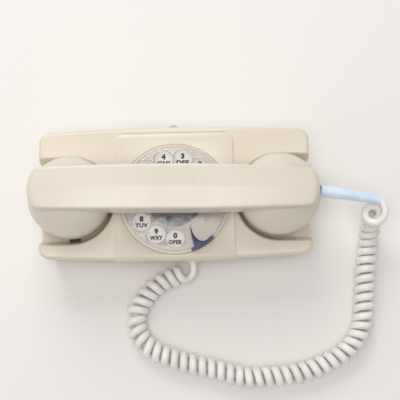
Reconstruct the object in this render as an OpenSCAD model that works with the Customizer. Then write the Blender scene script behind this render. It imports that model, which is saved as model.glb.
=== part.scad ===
// Compact rotary desk telephone: a moulded base with two open cups, a dial under the
// handset, and the mechanism inside. Origin: middle of the footprint, on the table.
// +X runs along the handset to its cord end, +Y to the back, +Z up. Millimetres.

/* [Base] */
// Length of the base
base_l = 198; // [194:1:204]
// Depth of the base at its middle
base_d = 98; // [96:1:102]
// How far each long side bows out at the middle
base_bow = 2.5; // [1:0.5:3.5]
// How far the sides lean in between the rim and the table
lean = 4; // [3:0.5:5]
// Wall of the moulded shell
wall = 2.6; // [2.4:0.1:2.8]
// Thickness of the centre panel
panel_t = 2.4; // [2.2:0.1:2.6]

/* [Cups] */
// Distance between the centres of the two cups
cup_gap = 151; // [150:0.5:152]
// Radius of a cup at its rim
cup_r = 32; // [31.5:0.25:32.5]

/* [Handset] */
// Diameter of each head of the handset
head_d = 59; // [58.5:0.25:59.5]
// Width of the bar at its middle
bar_w = 32; // [31:0.5:34]
// Width of the bar at its ends
bar_end_w = 29; // [28:0.5:30.5]
// Height of the crown of the bar above the table
bar_top = 84; // [83:0.5:86]

/* [Dial] */
// Diameter of the finger wheel
wheel_d = 76.2; // [75.8:0.1:76.4]
// Material between a finger hole and the wheel's rim
hole_rim = 1.8; // [1.6:0.1:2.2]
// Material between two finger holes
hole_web = 0.42; // [0.3:0.02:0.6]

/* [Cord] */
// Outer diameter of the curly cord's turns
coil_d = 16; // [15.5:0.1:16.2]
// Diameter of the cord itself
wire_d = 5.8; // [5.4:0.1:6]

/* [Hidden] */

$fn = 48;
fit = 0.05;        // radial clearance of a turning fit
slip = 0.1;        // clearance between pieces that only sit in each other
eps = 0.01;

// Places: the base's middle, and the line on which the dial, cups and handset lie
base_y = -2;
front_end = base_y - base_d / 2;
back_end = base_y + base_d / 2;
line_y = -7;
hand_y = line_y + 1; // the handset lies a little behind the middle of its cups
cup_x = cup_gap / 2;

// Heights above the table
skirt_z = 2.6;     // lower edge of the shell
plate_z = 3.2;     // underside of the base plate
plate_t = 1.6;
floor_z = plate_z + plate_t;
rim_z = 44;        // top of the shell
lean_z = 36;       // the sides are widest from here up
deck_z = rim_z - wall;
cup_z = 30;        // floor of the cups
panel_z = 45.6;    // top of the centre panel
seat_z = panel_z - panel_t;
frame_t = 1.2;     // dial frame
face_t = 1.4;      // number plate
face_z = seat_z + frame_t;
wheel_z = face_z + face_t + 1.2;
wheel_t = 2.4;
move_z = 18;       // lower plate of the dial movement
move_t = 1.2;

corner_r = 8;
front_edge_r = 2.5;
back_edge_r = 3;
cup_slope = 4;     // a cup is this much narrower at its floor
panel_side = 2.4;  // material left beside the well
panel_proud = 0.6; // how far the panel stands out of the front
panel_back = base_d / 2 - 4.5; // the panel ends this far behind the base's middle
deck_hole_r = 37;  // opening in the deck for the dial's movement
plate_lap = 3.3;   // how far the dial's plates reach past that opening
face_r = max(wheel_d / 2 + 2.2, deck_hole_r + plate_lap);
well_r = face_r + 0.3;               // round opening in the panel
panel_w = 2 * (well_r + panel_side);
face_hole_r = 20.5; // opening in the number plate, over the steel frame

// Outline helpers: points on an arc, and the outline of the base drawn in at its three sides
function arc(cx, cy, r, a0, a1, n) =
    [for (i = [0:n]) let (a = a0 + (a1 - a0) * i / n) [cx + r * cos(a), cy + r * sin(a)]];
function bow_points(x, y, side, n) =
    [for (i = [1:n - 1]) let (t = 1 - 2 * i / n) [side * x * t, y + side * base_bow * (1 - t * t)]];
function base_outline(front, back, end) =
    let (x = base_l / 2 - end,
         y0 = base_y - base_d / 2 + base_bow + front,
         y1 = base_y + base_d / 2 - base_bow - back,
         r = corner_r - min(end, corner_r - 3))
    concat(arc(x - r, y0 + r, r, -90, 0, 6),
           arc(x - r, y1 - r, r, 0, 90, 6),
           bow_points(x - r, y1, 1, 8),
           arc(-x + r, y1 - r, r, 90, 180, 6),
           arc(-x + r, y0 + r, r, 180, 270, 6),
           bow_points(x - r, y0, -1, 8));
function lean_at(z) = max(0, lean * (lean_z - z) / (lean_z - skirt_z));
function edge_at(z, top, r) = z <= top - r ? 0 : r - sqrt(max(0, r * r - pow(z - top + r, 2)));
function front_y(z) = base_y - base_d / 2 + lean_at(z);
lean_angle = atan(lean / (lean_z - skirt_z));

// A solid through a stack of outlines that have the same number of points, from the lowest up
module loft(outlines, heights) {
    m = len(outlines[0]);
    top = len(outlines) - 1;
    points = [for (i = [0:top]) for (p = outlines[i]) [p[0], p[1], heights[i]]];
    walls = [for (i = [0:top - 1])
        for (k = [0:m - 1])
            let (a = i * m + k, b = i * m + (k + 1) % m)
            for (face = [[a, a + m, b + m], [a, b + m, b]])
                face];
    polyhedron(points, concat([[for (k = [0:m - 1]) k]], walls, [[for (k = [0:m - 1]) top * m + m - 1 - k]]),
        convexity = 4);
}

// A body with the base's outline, leaning sides and rounded upper edges, `inset` inside the shell
module base_body(inset, low, top) {
    levels = [low, lean_z, top - 4.5, top - 2.5, top - 1, top - 0.3, top];
    loft([for (z = levels)
            let (side = inset + lean_at(z) + edge_at(z, top, front_edge_r))
            base_outline(side, inset + lean_at(z) + edge_at(z, top, back_edge_r), side)],
        levels);
}

// A cup's space, open to the end of the base: `side` is -1 for the left and 1 for the right
module cup_space(side, grow, low) {
    r1 = cup_r + grow;
    r0 = r1 - cup_slope;
    depth = rim_z - cup_z;
    translate([side * cup_x, line_y, low]) {
        cylinder(h = depth, r1 = r0, r2 = r1, $fn = 96);
        translate([0, 0, depth])
            cylinder(h = 10, r = r1, $fn = 96);
        rotate([90, 0, 90 * side])
            linear_extrude(base_l / 2 - cup_x + 20)
                polygon([[-r0, 0], [r0, 0], [r1, depth], [r1, depth + 10], [-r1, depth + 10], [-r1, depth]]);
    }
}

// Profile of the centre panel seen from the end: down the front, over the top to the back
function panel_line(off) =
    let (y_low = front_y(skirt_z + 1) - panel_proud + off,
         y_top = front_y(lean_z) - panel_proud + off,
         z_top = panel_z - off,
         r = max(0.8, 4 - off))
    concat([[y_low, skirt_z + 1], [y_top, lean_z]],
           arc(y_top + r, z_top - r, r, 180, 90, 5),
           [[base_y + panel_back - 3, z_top]]);

module panel_solid() {
    outer = panel_line(0);
    inner = panel_line(panel_t);
    n = len(inner);
    intersection() {
        rotate([90, 0, 90])
            linear_extrude(panel_w, center = true)
                polygon(concat(outer,
                    [[base_y + panel_back - 0.6, panel_z - 0.6], [base_y + panel_back, panel_z - panel_t]],
                    [for (i = [0:n - 1]) inner[n - 1 - i]]));
        linear_extrude(80)
            polygon(concat([[panel_w / 2, -80]],
                arc(panel_w / 2 - 7, base_y + panel_back - 7, 7, 0, 90, 5),
                arc(7 - panel_w / 2, base_y + panel_back - 7, 7, 90, 180, 5),
                [[-panel_w / 2, -80]]));
    }
}

// The seat that the panel lies in, cut out of the shell
module panel_seat() {
    inner = panel_line(panel_t);
    n = len(inner);
    w = panel_w + 2 * slip;
    far = base_y + panel_back + slip;
    intersection() {
        rotate([90, 0, 90])
            linear_extrude(w, center = true)
                polygon(concat([[-80, skirt_z + 1]], inner, [[far, inner[n - 1][1]], [far, 70], [-80, 70]]));
        linear_extrude(80)
            polygon(concat([[w / 2, -90]],
                arc(w / 2 - 7, far - 7, 7, 0, 90, 5),
                arc(7 - w / 2, far - 7, 7, 90, 180, 5),
                [[-w / 2, -90]]));
    }
}

// Fixings and openings of the base
foot_x = base_l / 2 - 16;
net_l = 32;
net_w = 24;
net_x = -foot_x + 6.5;
net_y = back_end - 11 - net_w;
screw_left = net_x + net_l + 4.5;
screw_front = front_end + 14;
screw_back = back_end - 11;
screw_places = [[-44, screw_front], [44, screw_front], [screw_left, screw_back], [40, screw_back]];
screw_r = 1.5;
foot_front = front_end + 17;
foot_back = back_end - 18;
foot_places = [[-foot_x, foot_front], [foot_x, foot_front], [-foot_x, foot_back], [foot_x, foot_back]];
foot_d = 13;
spigot_r = 2.5;
panel_fix = [[-36, base_y + panel_back - 11.5], [36, base_y + panel_back - 11.5]];
panel_fix_r = 1.2;
panel_bite = 1.5;  // how far those screws reach into the panel
frame_fix_r = deck_hole_r + 1.3;
frame_fix_angles = [45, 165, 285];
hook_x = -74;
hook_w = 7;
hook_tip_y = line_y - 29.2;
hook_tip_t = 3;
hook_z = 20.5;     // height of the hook lever's pin
hook_pin_y = line_y - 11;
hook_pin_r = 1.5;
jack_x = screw_left + 20;
jack_w = 14;
jack_h = 12;
jack_z = 5.2;
jack_end = back_end - 3.8;
lever_y = back_end - 13; // the loudness lever's pin
lever_pin_r = 1.5;
tab_w = 6.5;
tab_end_y = back_end + 4.4;
tab_z = 28.6;
tab_t = 3;
grommet_x = 12;
grommet_z = 10.5;
grommet_r = 4.6;

// Stands a shape's +Z out of the leaning front wall, where the handset's cord goes in
module at_front_jack() {
    translate([grommet_x, front_y(grommet_z) - panel_proud, grommet_z])
        rotate([90 + lean_angle, 0, 0])
            children();
}

module feet() color("dimgray")
    for (p = foot_places)
        translate([p[0], p[1], 0]) {
            cylinder(h = plate_z - 0.6, d1 = foot_d - 1.5, d2 = foot_d);
            translate([0, 0, plate_z - 0.6])
                cylinder(h = 0.6, d = foot_d);
            translate([0, 0, plate_z - eps])
                cylinder(h = plate_t + eps + 0.2, r = spigot_r);
            translate([0, 0, floor_z])
                cylinder(h = 1.6, r1 = spigot_r + 1, r2 = spigot_r - 0.4);
        }

module base_plate() color("dimgray")
    difference() {
        union() {
            translate([0, 0, plate_z])
                linear_extrude(plate_t)
                    polygon(base_outline(lean + wall + 0.3, lean + wall + 0.3, lean + wall + 0.3));
            for (x = [-34, 34])
                translate([x - 2, front_end + 19, floor_z - eps])
                    cube([4, base_d - 46, 1.2]);
        }
        for (p = foot_places)
            translate([p[0], p[1], 0])
                cylinder(h = 10, r = spigot_r + slip);
        for (p = screw_places)
            translate([p[0], p[1], 0])
                cylinder(h = 10, r = screw_r + 0.2);
        for (x = [-16, -8, 8, 16])
            translate([x - 1.5, base_y - 12, 0])
                cube([3, 24, 10]);
    }

module base_screws() color("silver")
    for (p = screw_places)
        translate([p[0], p[1], 0]) {
            difference() {
                translate([0, 0, plate_z - 1.5])
                    cylinder(h = 1.5, r1 = 2.2, r2 = 3);
                translate([-0.4, -4, 0])
                    cube([0.8, 8, plate_z - 0.8]);
            }
            translate([0, 0, plate_z - eps])
                cylinder(h = 12, r = screw_r);
        }

module housing() color("antiquewhite")
    difference() {
        union() {
            difference() {
                base_body(0, skirt_z, rim_z);
                difference() {
                    base_body(wall, skirt_z - 1, deck_z);
                    for (side = [-1, 1])
                        cup_space(side, wall, cup_z - wall);
                }
            }
            for (p = screw_places)
                translate([p[0], p[1], floor_z + 0.1])
                    cylinder(h = deck_z - floor_z, r = 3.6);
            for (a = frame_fix_angles)
                translate([frame_fix_r * cos(a), line_y + frame_fix_r * sin(a), deck_z - 5])
                    cylinder(h = 5.5, r = 2.4);
        }
        for (side = [-1, 1])
            cup_space(side, 0, cup_z);
        panel_seat();
        translate([0, line_y, cup_z])
            cylinder(h = 30, r = deck_hole_r, $fn = 96);
        for (p = screw_places)
            translate([p[0], p[1], 0])
                cylinder(h = plate_z + 13, r = screw_r);
        for (p = panel_fix)
            translate([p[0], p[1], deck_z - 6])
                cylinder(h = 10, r = panel_fix_r + slip);
        for (a = frame_fix_angles)
            translate([frame_fix_r * cos(a), line_y + frame_fix_r * sin(a), deck_z - 4])
                cylinder(h = 10, r = 0.9);
        // slot for the hook lever, through the left cup's floor
        translate([hook_x - hook_w / 2 - 0.6, hook_tip_y - 0.8, cup_z - 8])
            cube([hook_w + 1.2, hook_tip_t + 2, 12]);
        // slot for the loudness tab, and windows for the two jacks
        translate([-tab_w / 2 - 3.6, back_end - 9, tab_z - 0.5])
            cube([tab_w + 7.2, 12, tab_t + 1]);
        translate([jack_x - jack_w / 2 - slip, jack_end - 11.2, jack_z - slip])
            cube([jack_w + 2 * slip, 20, jack_h + 2 * slip]);
        at_front_jack()
            translate([0, 0, -12])
                cylinder(h = 20, r = grommet_r + slip);
    }

module dial_panel() color("antiquewhite")
    difference() {
        panel_solid();
        translate([0, line_y, cup_z])
            cylinder(h = 30, r = well_r, $fn = 96);
        for (p = panel_fix)
            translate([p[0], p[1], seat_z - 1])
                cylinder(h = 1 + panel_bite, r = panel_fix_r);
        at_front_jack()
            translate([0, 0, -12])
                cylinder(h = 20, r = grommet_r + slip);
    }

module panel_screws() color("silver")
    for (p = panel_fix)
        translate([p[0], p[1], 0])
            difference() {
                union() {
                    translate([0, 0, deck_z - eps])
                        cylinder(h = seat_z + panel_bite - deck_z + eps, r = panel_fix_r);
                    translate([0, 0, deck_z - 1.4])
                        cylinder(h = 1.4, r1 = 2, r2 = 2.6);
                }
                translate([-0.35, -4, deck_z - 2])
                    cube([0.7, 8, 1.4]);
            }

// Dial: everything is drawn about the dial's own axis
hole_step = 27.5;
half_step = sin(hole_step / 2);
hole_ring_r = (wheel_d / 2 - hole_rim + hole_web / 2) / (1 + half_step);
hole_d = 2 * hole_ring_r * half_step - hole_web;
first_hole = 22.5; // where the hole for 1 stands, anticlockwise from +X
shaft_r = 3;
train_r = 24.9;    // main shaft to pulse shaft
train_angle = 200;
gov_r = 12.5;      // pulse shaft to governor shaft
gov_angle = -61;
thin_r = 1.4;      // pulse and governor shafts
gear_z = 33;
gear_t = 2;
pulse_wheel_z = 28;
pulse_wheel_t = 1.6;
pillar_angles = [75, 315, 145];
pillar_r = 31.5;
module on_dial() { translate([0, line_y, 0]) children(); }
module on_pulse() {
    translate([train_r * cos(train_angle), line_y + train_r * sin(train_angle), 0])
        children();
}
module on_governor() {
    on_pulse()
        translate([gov_r * cos(gov_angle), gov_r * sin(gov_angle), 0])
            children();
}

// Involute spur gears
pressure = 20;
gear_play = 0.16;
function flank(r, rb) = r <= rb ? 0 : let (a = acos(rb / r)) tan(a) * 180 / PI - a;
function gear_outline(n, m, tip) =
    let (rp = m * n / 2,
         rb = rp * cos(pressure),
         step = 360 / n,
         half = step / 4 + flank(rp, rb) - gear_play / rp * 90 / PI,
         radii = [rp - 1.25 * m, max(rb, rp - 0.6 * m), rp, rp + tip * m])
    [for (i = [0:n - 1])
        for (k = [0:7])
            let (left = k < 4,
                 r = radii[left ? k : 7 - k],
                 a = i * step + (left ? -1 : 1) * (half - flank(r, rb)))
            [r * cos(a), r * sin(a)]];

module number_plate() color("whitesmoke")
    on_dial()
        difference() {
            translate([0, 0, face_z])
                cylinder(h = face_t, r = face_r, $fn = 96);
            translate([0, 0, face_z - 1])
                cylinder(h = 4, r = face_hole_r, $fn = 96);
        }

module dial_frame() color("slategray")
    on_dial()
        difference() {
            translate([0, 0, seat_z])
                cylinder(h = frame_t, r = face_r, $fn = 96);
            translate([0, 0, seat_z - 1])
                cylinder(h = 4, r = shaft_r + fit);
            for (a = frame_fix_angles)
                rotate(a)
                    translate([frame_fix_r, 0, seat_z - eps])
                        cylinder(h = frame_t + 2 * eps, r1 = 0.9 + slip, r2 = 0.9 + slip + frame_t / 2);
            translate([-8, -14.5, seat_z - 1])
                rotate(-24)
                    cube([14, 3.6, 4]);
            translate([0, 0, seat_z - 1])
                rotate(-75)
                    rotate_extrude(angle = 68, $fn = 96)
                        translate([face_hole_r - 4.5, 0])
                            square([3, 4]);
        }

module frame_screws() color("silver")
    on_dial()
        for (a = frame_fix_angles)
            rotate(a)
                translate([frame_fix_r, 0, 0]) {
                    translate([0, 0, face_z - frame_t])
                        cylinder(h = frame_t, r1 = 0.9, r2 = 0.9 + frame_t / 2);
                    translate([0, 0, deck_z - 3])
                        cylinder(h = seat_z - deck_z + 3 + eps, r = 0.9);
                }

module movement_plate() color("silver")
    difference() {
        on_dial()
            translate([0, 0, move_z])
                cylinder(h = move_t, r = 35, $fn = 96);
        on_dial()
            translate([0, 0, move_z - 1])
                cylinder(h = 4, r = shaft_r + fit);
        on_pulse()
            translate([0, 0, move_z - 1])
                cylinder(h = 4, r = thin_r + fit);
        on_governor()
            translate([0, 0, move_z - 1])
                cylinder(h = 4, r = thin_r + fit);
        on_dial()
            for (a = [10, 60])
                rotate(a)
                    translate([20, 0, move_z - 1])
                        cylinder(h = 4, r = 5);
    }

module movement_pillars() color("goldenrod")
    on_dial()
        for (a = pillar_angles)
            rotate(a)
                translate([pillar_r, 0, move_z + move_t])
                    cylinder(h = seat_z - move_z - move_t, r = 2.2);

module main_shaft() color("silver")
    on_dial() {
        translate([0, 0, move_z - 1])
            cylinder(h = wheel_z - move_z + 1, r = shaft_r);
        translate([0, 0, wheel_z - eps])
            cylinder(h = wheel_t, r = 2);
        translate([0, 0, move_z + move_t + 0.2])
            cylinder(h = 1, r = 4.2);
    }

module main_gear() color("goldenrod")
    on_dial()
        difference() {
            union() {
                translate([0, 0, gear_z])
                    linear_extrude(gear_t)
                        polygon(gear_outline(72, 0.6, 0.65));
                translate([0, 0, gear_z - 3])
                    cylinder(h = 3 + eps, r = 6);
            }
            translate([0, 0, gear_z - 4])
                cylinder(h = 8, r = shaft_r);
            for (a = [0:90:270])
                rotate(a + 45)
                    translate([13, 0, gear_z - 1])
                        cylinder(h = 4, r = 4);
        }

// A flat spiral spring about the shaft, as one closed outline
spring_turns = 4;
spring_steps = 24;
function spiral(off) =
    [for (i = [0:spring_turns * spring_steps])
        let (a = i * 360 / spring_steps, r = 4.4 + 1.9 * i / spring_steps + off)
        [r * cos(a), r * sin(a)]];
module main_spring() color("steelblue")
    on_dial() {
        inside = spiral(0);
        outside = spiral(0.6);
        n = len(inside);
        translate([0, 0, gear_z + gear_t + 1.6])
            linear_extrude(4)
                polygon(concat(outside, [for (i = [0:n - 1]) inside[n - 1 - i]]));
        // the hook that holds its inner end to the shaft, and the stud of its outer end
        translate([shaft_r + 0.3, -0.8, gear_z + gear_t + 1.6])
            cube([1.6, 1.6, 4]);
        rotate(0)
            translate([12.6, 0, gear_z + gear_t + 1.6 + 1])
                cylinder(h = seat_z - gear_z - gear_t - 2.6, r = 1);
    }

module finger_wheel() color("mistyrose", 0.6)
    on_dial()
        difference() {
            union() {
                translate([0, 0, wheel_z])
                    cylinder(h = wheel_t - 0.6, d = wheel_d, $fn = 96);
                translate([0, 0, wheel_z + wheel_t - 0.6])
                    cylinder(h = 0.6, d1 = wheel_d, d2 = wheel_d - 1.2, $fn = 96);
            }
            translate([0, 0, wheel_z - 1])
                cylinder(h = 5, r = 2);
            for (i = [0:9])
                rotate(first_hole + i * hole_step)
                    translate([hole_ring_r, 0, wheel_z - 1])
                        cylinder(h = 5, d = hole_d);
        }

module wheel_screw() color("silver")
    on_dial()
        difference() {
            translate([0, 0, wheel_z + wheel_t])
                cylinder(h = 1.2, r1 = 4, r2 = 3.4);
            translate([-5, -0.5, wheel_z + wheel_t + 0.5])
                cube([10, 1, 2]);
        }

// The finger stop: a foot beside the wheel and a fin that curves in over it
stop_top = wheel_z + wheel_t + 1.9;
stop_t = 1.2;
stop_foot_w = 2.2;
// The fin's two long edges, from its tip to its foot: how far inside the wheel's rim, and the angles
fin_in = [13.5, 10.5, 7.5, 4.5, 1.8, -0.4];
fin_left = [-64.3, -66, -67.3, -68.3, -69, -68.8];
fin_right = [-62.5, -63.9, -64.2, -63.2, -60.9, -56.2];
fin_ends = [-68.8, -56.2];
function fin_point(i, angles) = (wheel_d / 2 - fin_in[i]) * [cos(angles[i]), sin(angles[i])];
module finger_stop() color("darkslateblue")
    on_dial() {
        rotate(-73)
            rotate_extrude(angle = 26, $fn = 96)
                translate([wheel_d / 2 + 0.35, face_z + face_t])
                    square([stop_foot_w, stop_top - face_z - face_t]);
        translate([0, 0, stop_top - stop_t])
            linear_extrude(stop_t)
                polygon(concat(
                    arc(0, 0, wheel_d / 2 + stop_foot_w, fin_ends[0], fin_ends[1], 3),
                    [for (i = [5:-1:0]) fin_point(i, fin_right)],
                    [for (i = [0:5]) fin_point(i, fin_left)]));
    }

module pulse_shaft() color("silver")
    on_pulse() {
        translate([0, 0, move_z - 0.6])
            cylinder(h = seat_z - move_z + 0.4, r = thin_r);
        // pinion, cut to mesh with the main gear
        translate([0, 0, gear_z - 0.4])
            linear_extrude(gear_t + 0.8)
                rotate(train_angle + 180 + 180 / 11)
                    polygon(gear_outline(11, 0.6, 0.9));
        // two-lobed cam: one break for each half turn
        translate([0, 0, gear_z + 4.5])
            intersection() {
                cylinder(h = 2, r = 5);
                translate([-6, -2.6, 0])
                    cube([12, 5.2, 2]);
            }
    }

module pulse_wheel() color("goldenrod")
    on_pulse()
        difference() {
            union() {
                translate([0, 0, pulse_wheel_z])
                    linear_extrude(pulse_wheel_t)
                        rotate(gov_angle)
                            polygon(gear_outline(40, 0.5, 0.65));
                translate([0, 0, pulse_wheel_z - 1.5])
                    cylinder(h = 1.6, r = 3);
            }
            translate([0, 0, pulse_wheel_z - 3])
                cylinder(h = 8, r = thin_r);
        }

// Leaf springs beside the cam, in their block
module pulse_springs() color("silver")
    on_pulse()
        for (k = [0:2])
            translate([-6.1 - 1.3 * k, -5, gear_z + 4])
                cube([0.3, 22, 3]);

module spring_block() color("sienna")
    on_pulse()
        difference() {
            translate([-10, 12, gear_z + 2.5])
                cube([5, 6, seat_z - gear_z - 2.5]);
            for (k = [0:2])
                translate([-6.1 - 1.3 * k, -5, gear_z + 4])
                    cube([0.3, 22, 3]);
        }

module governor_shaft() color("silver")
    on_governor() {
        translate([0, 0, move_z - 0.6])
            cylinder(h = seat_z - move_z + 0.4, r = thin_r);
        translate([0, 0, pulse_wheel_z - 0.4])
            linear_extrude(pulse_wheel_t + 0.8)
                rotate(gov_angle + 180 + 180 / 10)
                    polygon(gear_outline(10, 0.5, 0.9));
    }

module governor_weights() color("goldenrod")
    on_governor()
        difference() {
            union() {
                for (a = [0, 180])
                    rotate(a + 20)
                        translate([0, 0, 21.5])
                            rotate_extrude(angle = 120)
                                translate([4.2, 0])
                                    square([2.6, 4]);
                translate([-6, -1, 22])
                    cube([12, 2, 2]);
                translate([0, 0, 21.5])
                    cylinder(h = 4, r = 2.4);
            }
            translate([0, 0, 20])
                cylinder(h = 8, r = thin_r);
        }

module governor_drum() color("silver")
    on_governor()
        difference() {
            translate([0, 0, move_z + move_t])
                cylinder(h = 7.6, r = 8.3);
            translate([0, 0, move_z + move_t + 0.8])
                cylinder(h = 8, r = 7.3);
            translate([0, 0, move_z])
                cylinder(h = 8, r = thin_r + 0.4);
        }

// Hook switch, under the left cup
ear_t = 1.2;
module hook_lever() color("#202020")
    translate([hook_x - hook_w / 2, 0, 0])
        difference() {
            union() {
                rotate([90, 0, 90])
                    linear_extrude(hook_w)
                        polygon([[hook_pin_y - 1, hook_z - 3], [hook_pin_y + 9, hook_z - 3],
                                 [hook_pin_y + 9, hook_z - 0.5], [hook_pin_y, hook_z + 3],
                                 [hook_tip_y + hook_tip_t, hook_z + 2],
                                 [hook_tip_y + hook_tip_t, cup_z + 0.3],
                                 [hook_tip_y, cup_z + 0.3], [hook_tip_y, hook_z - 1]]);
                translate([0, hook_pin_y, hook_z])
                    rotate([0, 90, 0])
                        cylinder(h = hook_w, r = 3.2);
            }
            translate([-1, hook_pin_y, hook_z])
                rotate([0, 90, 0])
                    cylinder(h = hook_w + 2, r = hook_pin_r + fit);
        }

module hook_pin() color("silver")
    translate([hook_x - hook_w / 2 - ear_t - 0.8, hook_pin_y, hook_z])
        rotate([0, 90, 0])
            cylinder(h = hook_w + 2 * ear_t + 1.6, r = hook_pin_r);

module hook_bracket() color("silver")
    difference() {
        union() {
            translate([hook_x - hook_w / 2 - 6, hook_pin_y - 7, floor_z])
                cube([hook_w + 12, 16, ear_t]);
            for (x = [hook_x - hook_w / 2 - 0.3 - ear_t, hook_x + hook_w / 2 + 0.3])
                rotate([90, 0, 90])
                    translate([0, 0, x])
                        linear_extrude(ear_t)
                            polygon(concat([[hook_pin_y - 5, floor_z], [hook_pin_y + 5, floor_z]],
                                arc(hook_pin_y, hook_z, 3.2, 0, 180, 8)));
        }
        translate([hook_x - 10, hook_pin_y, hook_z])
            rotate([0, 90, 0])
                cylinder(h = 20, r = hook_pin_r);
        for (x = [hook_x - hook_w / 2 - 4, hook_x + hook_w / 2 + 4])
            translate([x, hook_pin_y, floor_z - 1])
                cylinder(h = 4, r = 1.2);
    }

module hook_spring() color("steelblue")
    translate([hook_x - 1.5, 0, 0])
        rotate([90, 0, 90])
            linear_extrude(3)
                polygon([[hook_pin_y - 5, floor_z + ear_t], [hook_pin_y + 3, floor_z + ear_t],
                         [hook_pin_y + 3, floor_z + ear_t + 0.5], [hook_pin_y - 5, floor_z + ear_t + 0.5],
                         [hook_tip_y + 5, hook_z - 2.5], [hook_tip_y + 4.4, hook_z - 2.7]]);

module hook_contacts() color("sienna")
    translate([hook_x - 6, hook_pin_y + 11, floor_z]) {
        difference() {
            cube([12, 8, hook_z - 4.4 - floor_z]);
            for (k = [0:1])
                translate([-1, -1, 5 + 2.6 * k])
                    cube([14, 1.6, 1]);
        }
        for (k = [0:2])
            translate([2.5, -6, hook_z - 7.6 - floor_z + 1.3 * k])
                cube([7, 6 + eps, 0.3]);
    }

// Network block, under the left cup behind the hook switch
net_h = 14;
terminal_rows = [[5, 4.5], [13, 4.5], [21, 4.5], [28, 4.5], [5, 19.5], [28, 19.5]];
module network_block() color("#2b2b2b")
    translate([net_x, net_y, floor_z])
        difference() {
            union() {
                cube([net_l, net_w, net_h]);
                translate([10, 9, net_h - eps])
                    cube([14, 9, 3]);
            }
            for (t = terminal_rows)
                translate([t[0], t[1], net_h - 5])
                    cylinder(h = 10, r = 1.3);
            translate([net_l / 2 - 1, -1, net_h - 2])
                cube([2, 8, 4]);
        }

module network_screws() color("goldenrod")
    translate([net_x, net_y, floor_z])
        for (t = terminal_rows)
            translate([t[0], t[1], 0]) {
                translate([0, 0, net_h - 4])
                    cylinder(h = 4 + eps, r = 1.2);
                translate([0, 0, net_h])
                    cylinder(h = 1.3, r = 2.4);
            }

// Ringer, under the right cup
bell = [base_l / 2 - 29, -18];
bell_r = 19;
bell_z = 22;
coil_x = 52;
coil_y = 23;
coil_z = 15;
coil_l = 22;
ring_pin = [50, 8];
module ringer_frame() color("silver")
    difference() {
        union() {
            translate([coil_x - 5, 5, floor_z])
                cube([coil_l + 8, 24, 1.4]);
            for (x = [coil_x - 3, coil_x + coil_l + 0.6])
                translate([x, coil_y - 11, floor_z])
                    cube([2, 16, 15.5]);
            translate([coil_x - 2, coil_y, coil_z])
                rotate([0, 90, 0])
                    cylinder(h = coil_l + 4, r = 2.5);
        }
        translate([ring_pin[0], ring_pin[1], 0])
            cylinder(h = 30, r = 1.2);
        translate([coil_x + 8, coil_y + 3, 0])
            cylinder(h = 10, r = 1.5);
    }

module ringer_coil() color("chocolate")
    translate([coil_x, coil_y, coil_z])
        rotate([0, 90, 0])
            difference() {
                union() {
                    translate([0, 0, 0])
                        cylinder(h = coil_l, r = 7.4);
                    for (x = [0, coil_l - 1.2])
                        translate([0, 0, x])
                            cylinder(h = 1.2, r = 8.6);
                }
                translate([0, 0, -1])
                    cylinder(h = coil_l + 2, r = 2.5 + slip);
            }

module ringer_pin() color("silver")
    translate([ring_pin[0], ring_pin[1], floor_z])
        cylinder(h = 14, r = 1.2);

module clapper() color("silver")
    difference() {
        union() {
            translate([ring_pin[0], ring_pin[1], 10])
                cylinder(h = 7, r = 2.6);
            translate([ring_pin[0], ring_pin[1] - 0.8, 11])
                cube([coil_l + 5, 1.6, 5]);
            translate([bell[0], ring_pin[1] - 0.4, 14])
                rotate([90, 0, 0])
                    cylinder(h = 3, r = 0.8);
            translate([bell[0], 4, 14])
                sphere(r = 2.3, $fn = 24);
        }
        translate([ring_pin[0], ring_pin[1], 0])
            cylinder(h = 30, r = 1.2 + fit);
    }

module gong() color("goldenrod")
    translate([bell[0], bell[1], 0])
        rotate_extrude($fn = 96)
            polygon(concat([[1.6, bell_z], [1.6, bell_z - 1.2]],
                arc(bell_r - 7.2, bell_z - 7.2, 6, 90, 0, 5),
                [[bell_r - 0.9, bell_z - 13.4], [bell_r, bell_z - 13.4]],
                arc(bell_r - 7.2, bell_z - 7.2, 7.2, 0, 90, 5)));

module gong_post() color("silver")
    translate([bell[0], bell[1], floor_z])
        difference() {
            union() {
                cylinder(h = bell_z - 1.2 - floor_z, r = 2.6);
                cylinder(h = 1.4, r = 5);
            }
            translate([0, 0, bell_z - 1.2 - floor_z - 6])
                cylinder(h = 8, r = 1.4);
        }

module gong_screw() color("silver")
    translate([bell[0], bell[1], 0]) {
        translate([0, 0, bell_z - 6])
            cylinder(h = 6 + eps, r = 1.4);
        translate([0, 0, bell_z])
            cylinder(h = 1.6, r1 = 3.4, r2 = 2.6);
    }

module loudness_lever() color("gainsboro")
    translate([0, lever_y, 0])
        difference() {
            union() {
                translate([0, 0, 10])
                    cylinder(h = tab_z + tab_t - 10, r = 3.4);
                translate([0, 0, tab_z])
                    linear_extrude(tab_t)
                        polygon(concat([[-tab_w / 2, 0], [tab_w / 2, 0]],
                            arc(0, tab_end_y - lever_y - tab_w / 2, tab_w / 2, 0, 180, 10)));
                translate([0, 0, 10])
                    linear_extrude(2.4)
                        polygon([[0, -2.6], [31, -7.5], [31, -4.2], [0, 2.6]]);
            }
            translate([0, 0, 0])
                cylinder(h = 40, r = lever_pin_r + fit);
        }

module loudness_pin() color("silver")
    translate([0, lever_y, floor_z]) {
        cylinder(h = tab_z + tab_t + 0.8 - floor_z, r = lever_pin_r);
        cylinder(h = 10 - 0.2 - floor_z, r = 3);
    }

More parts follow.
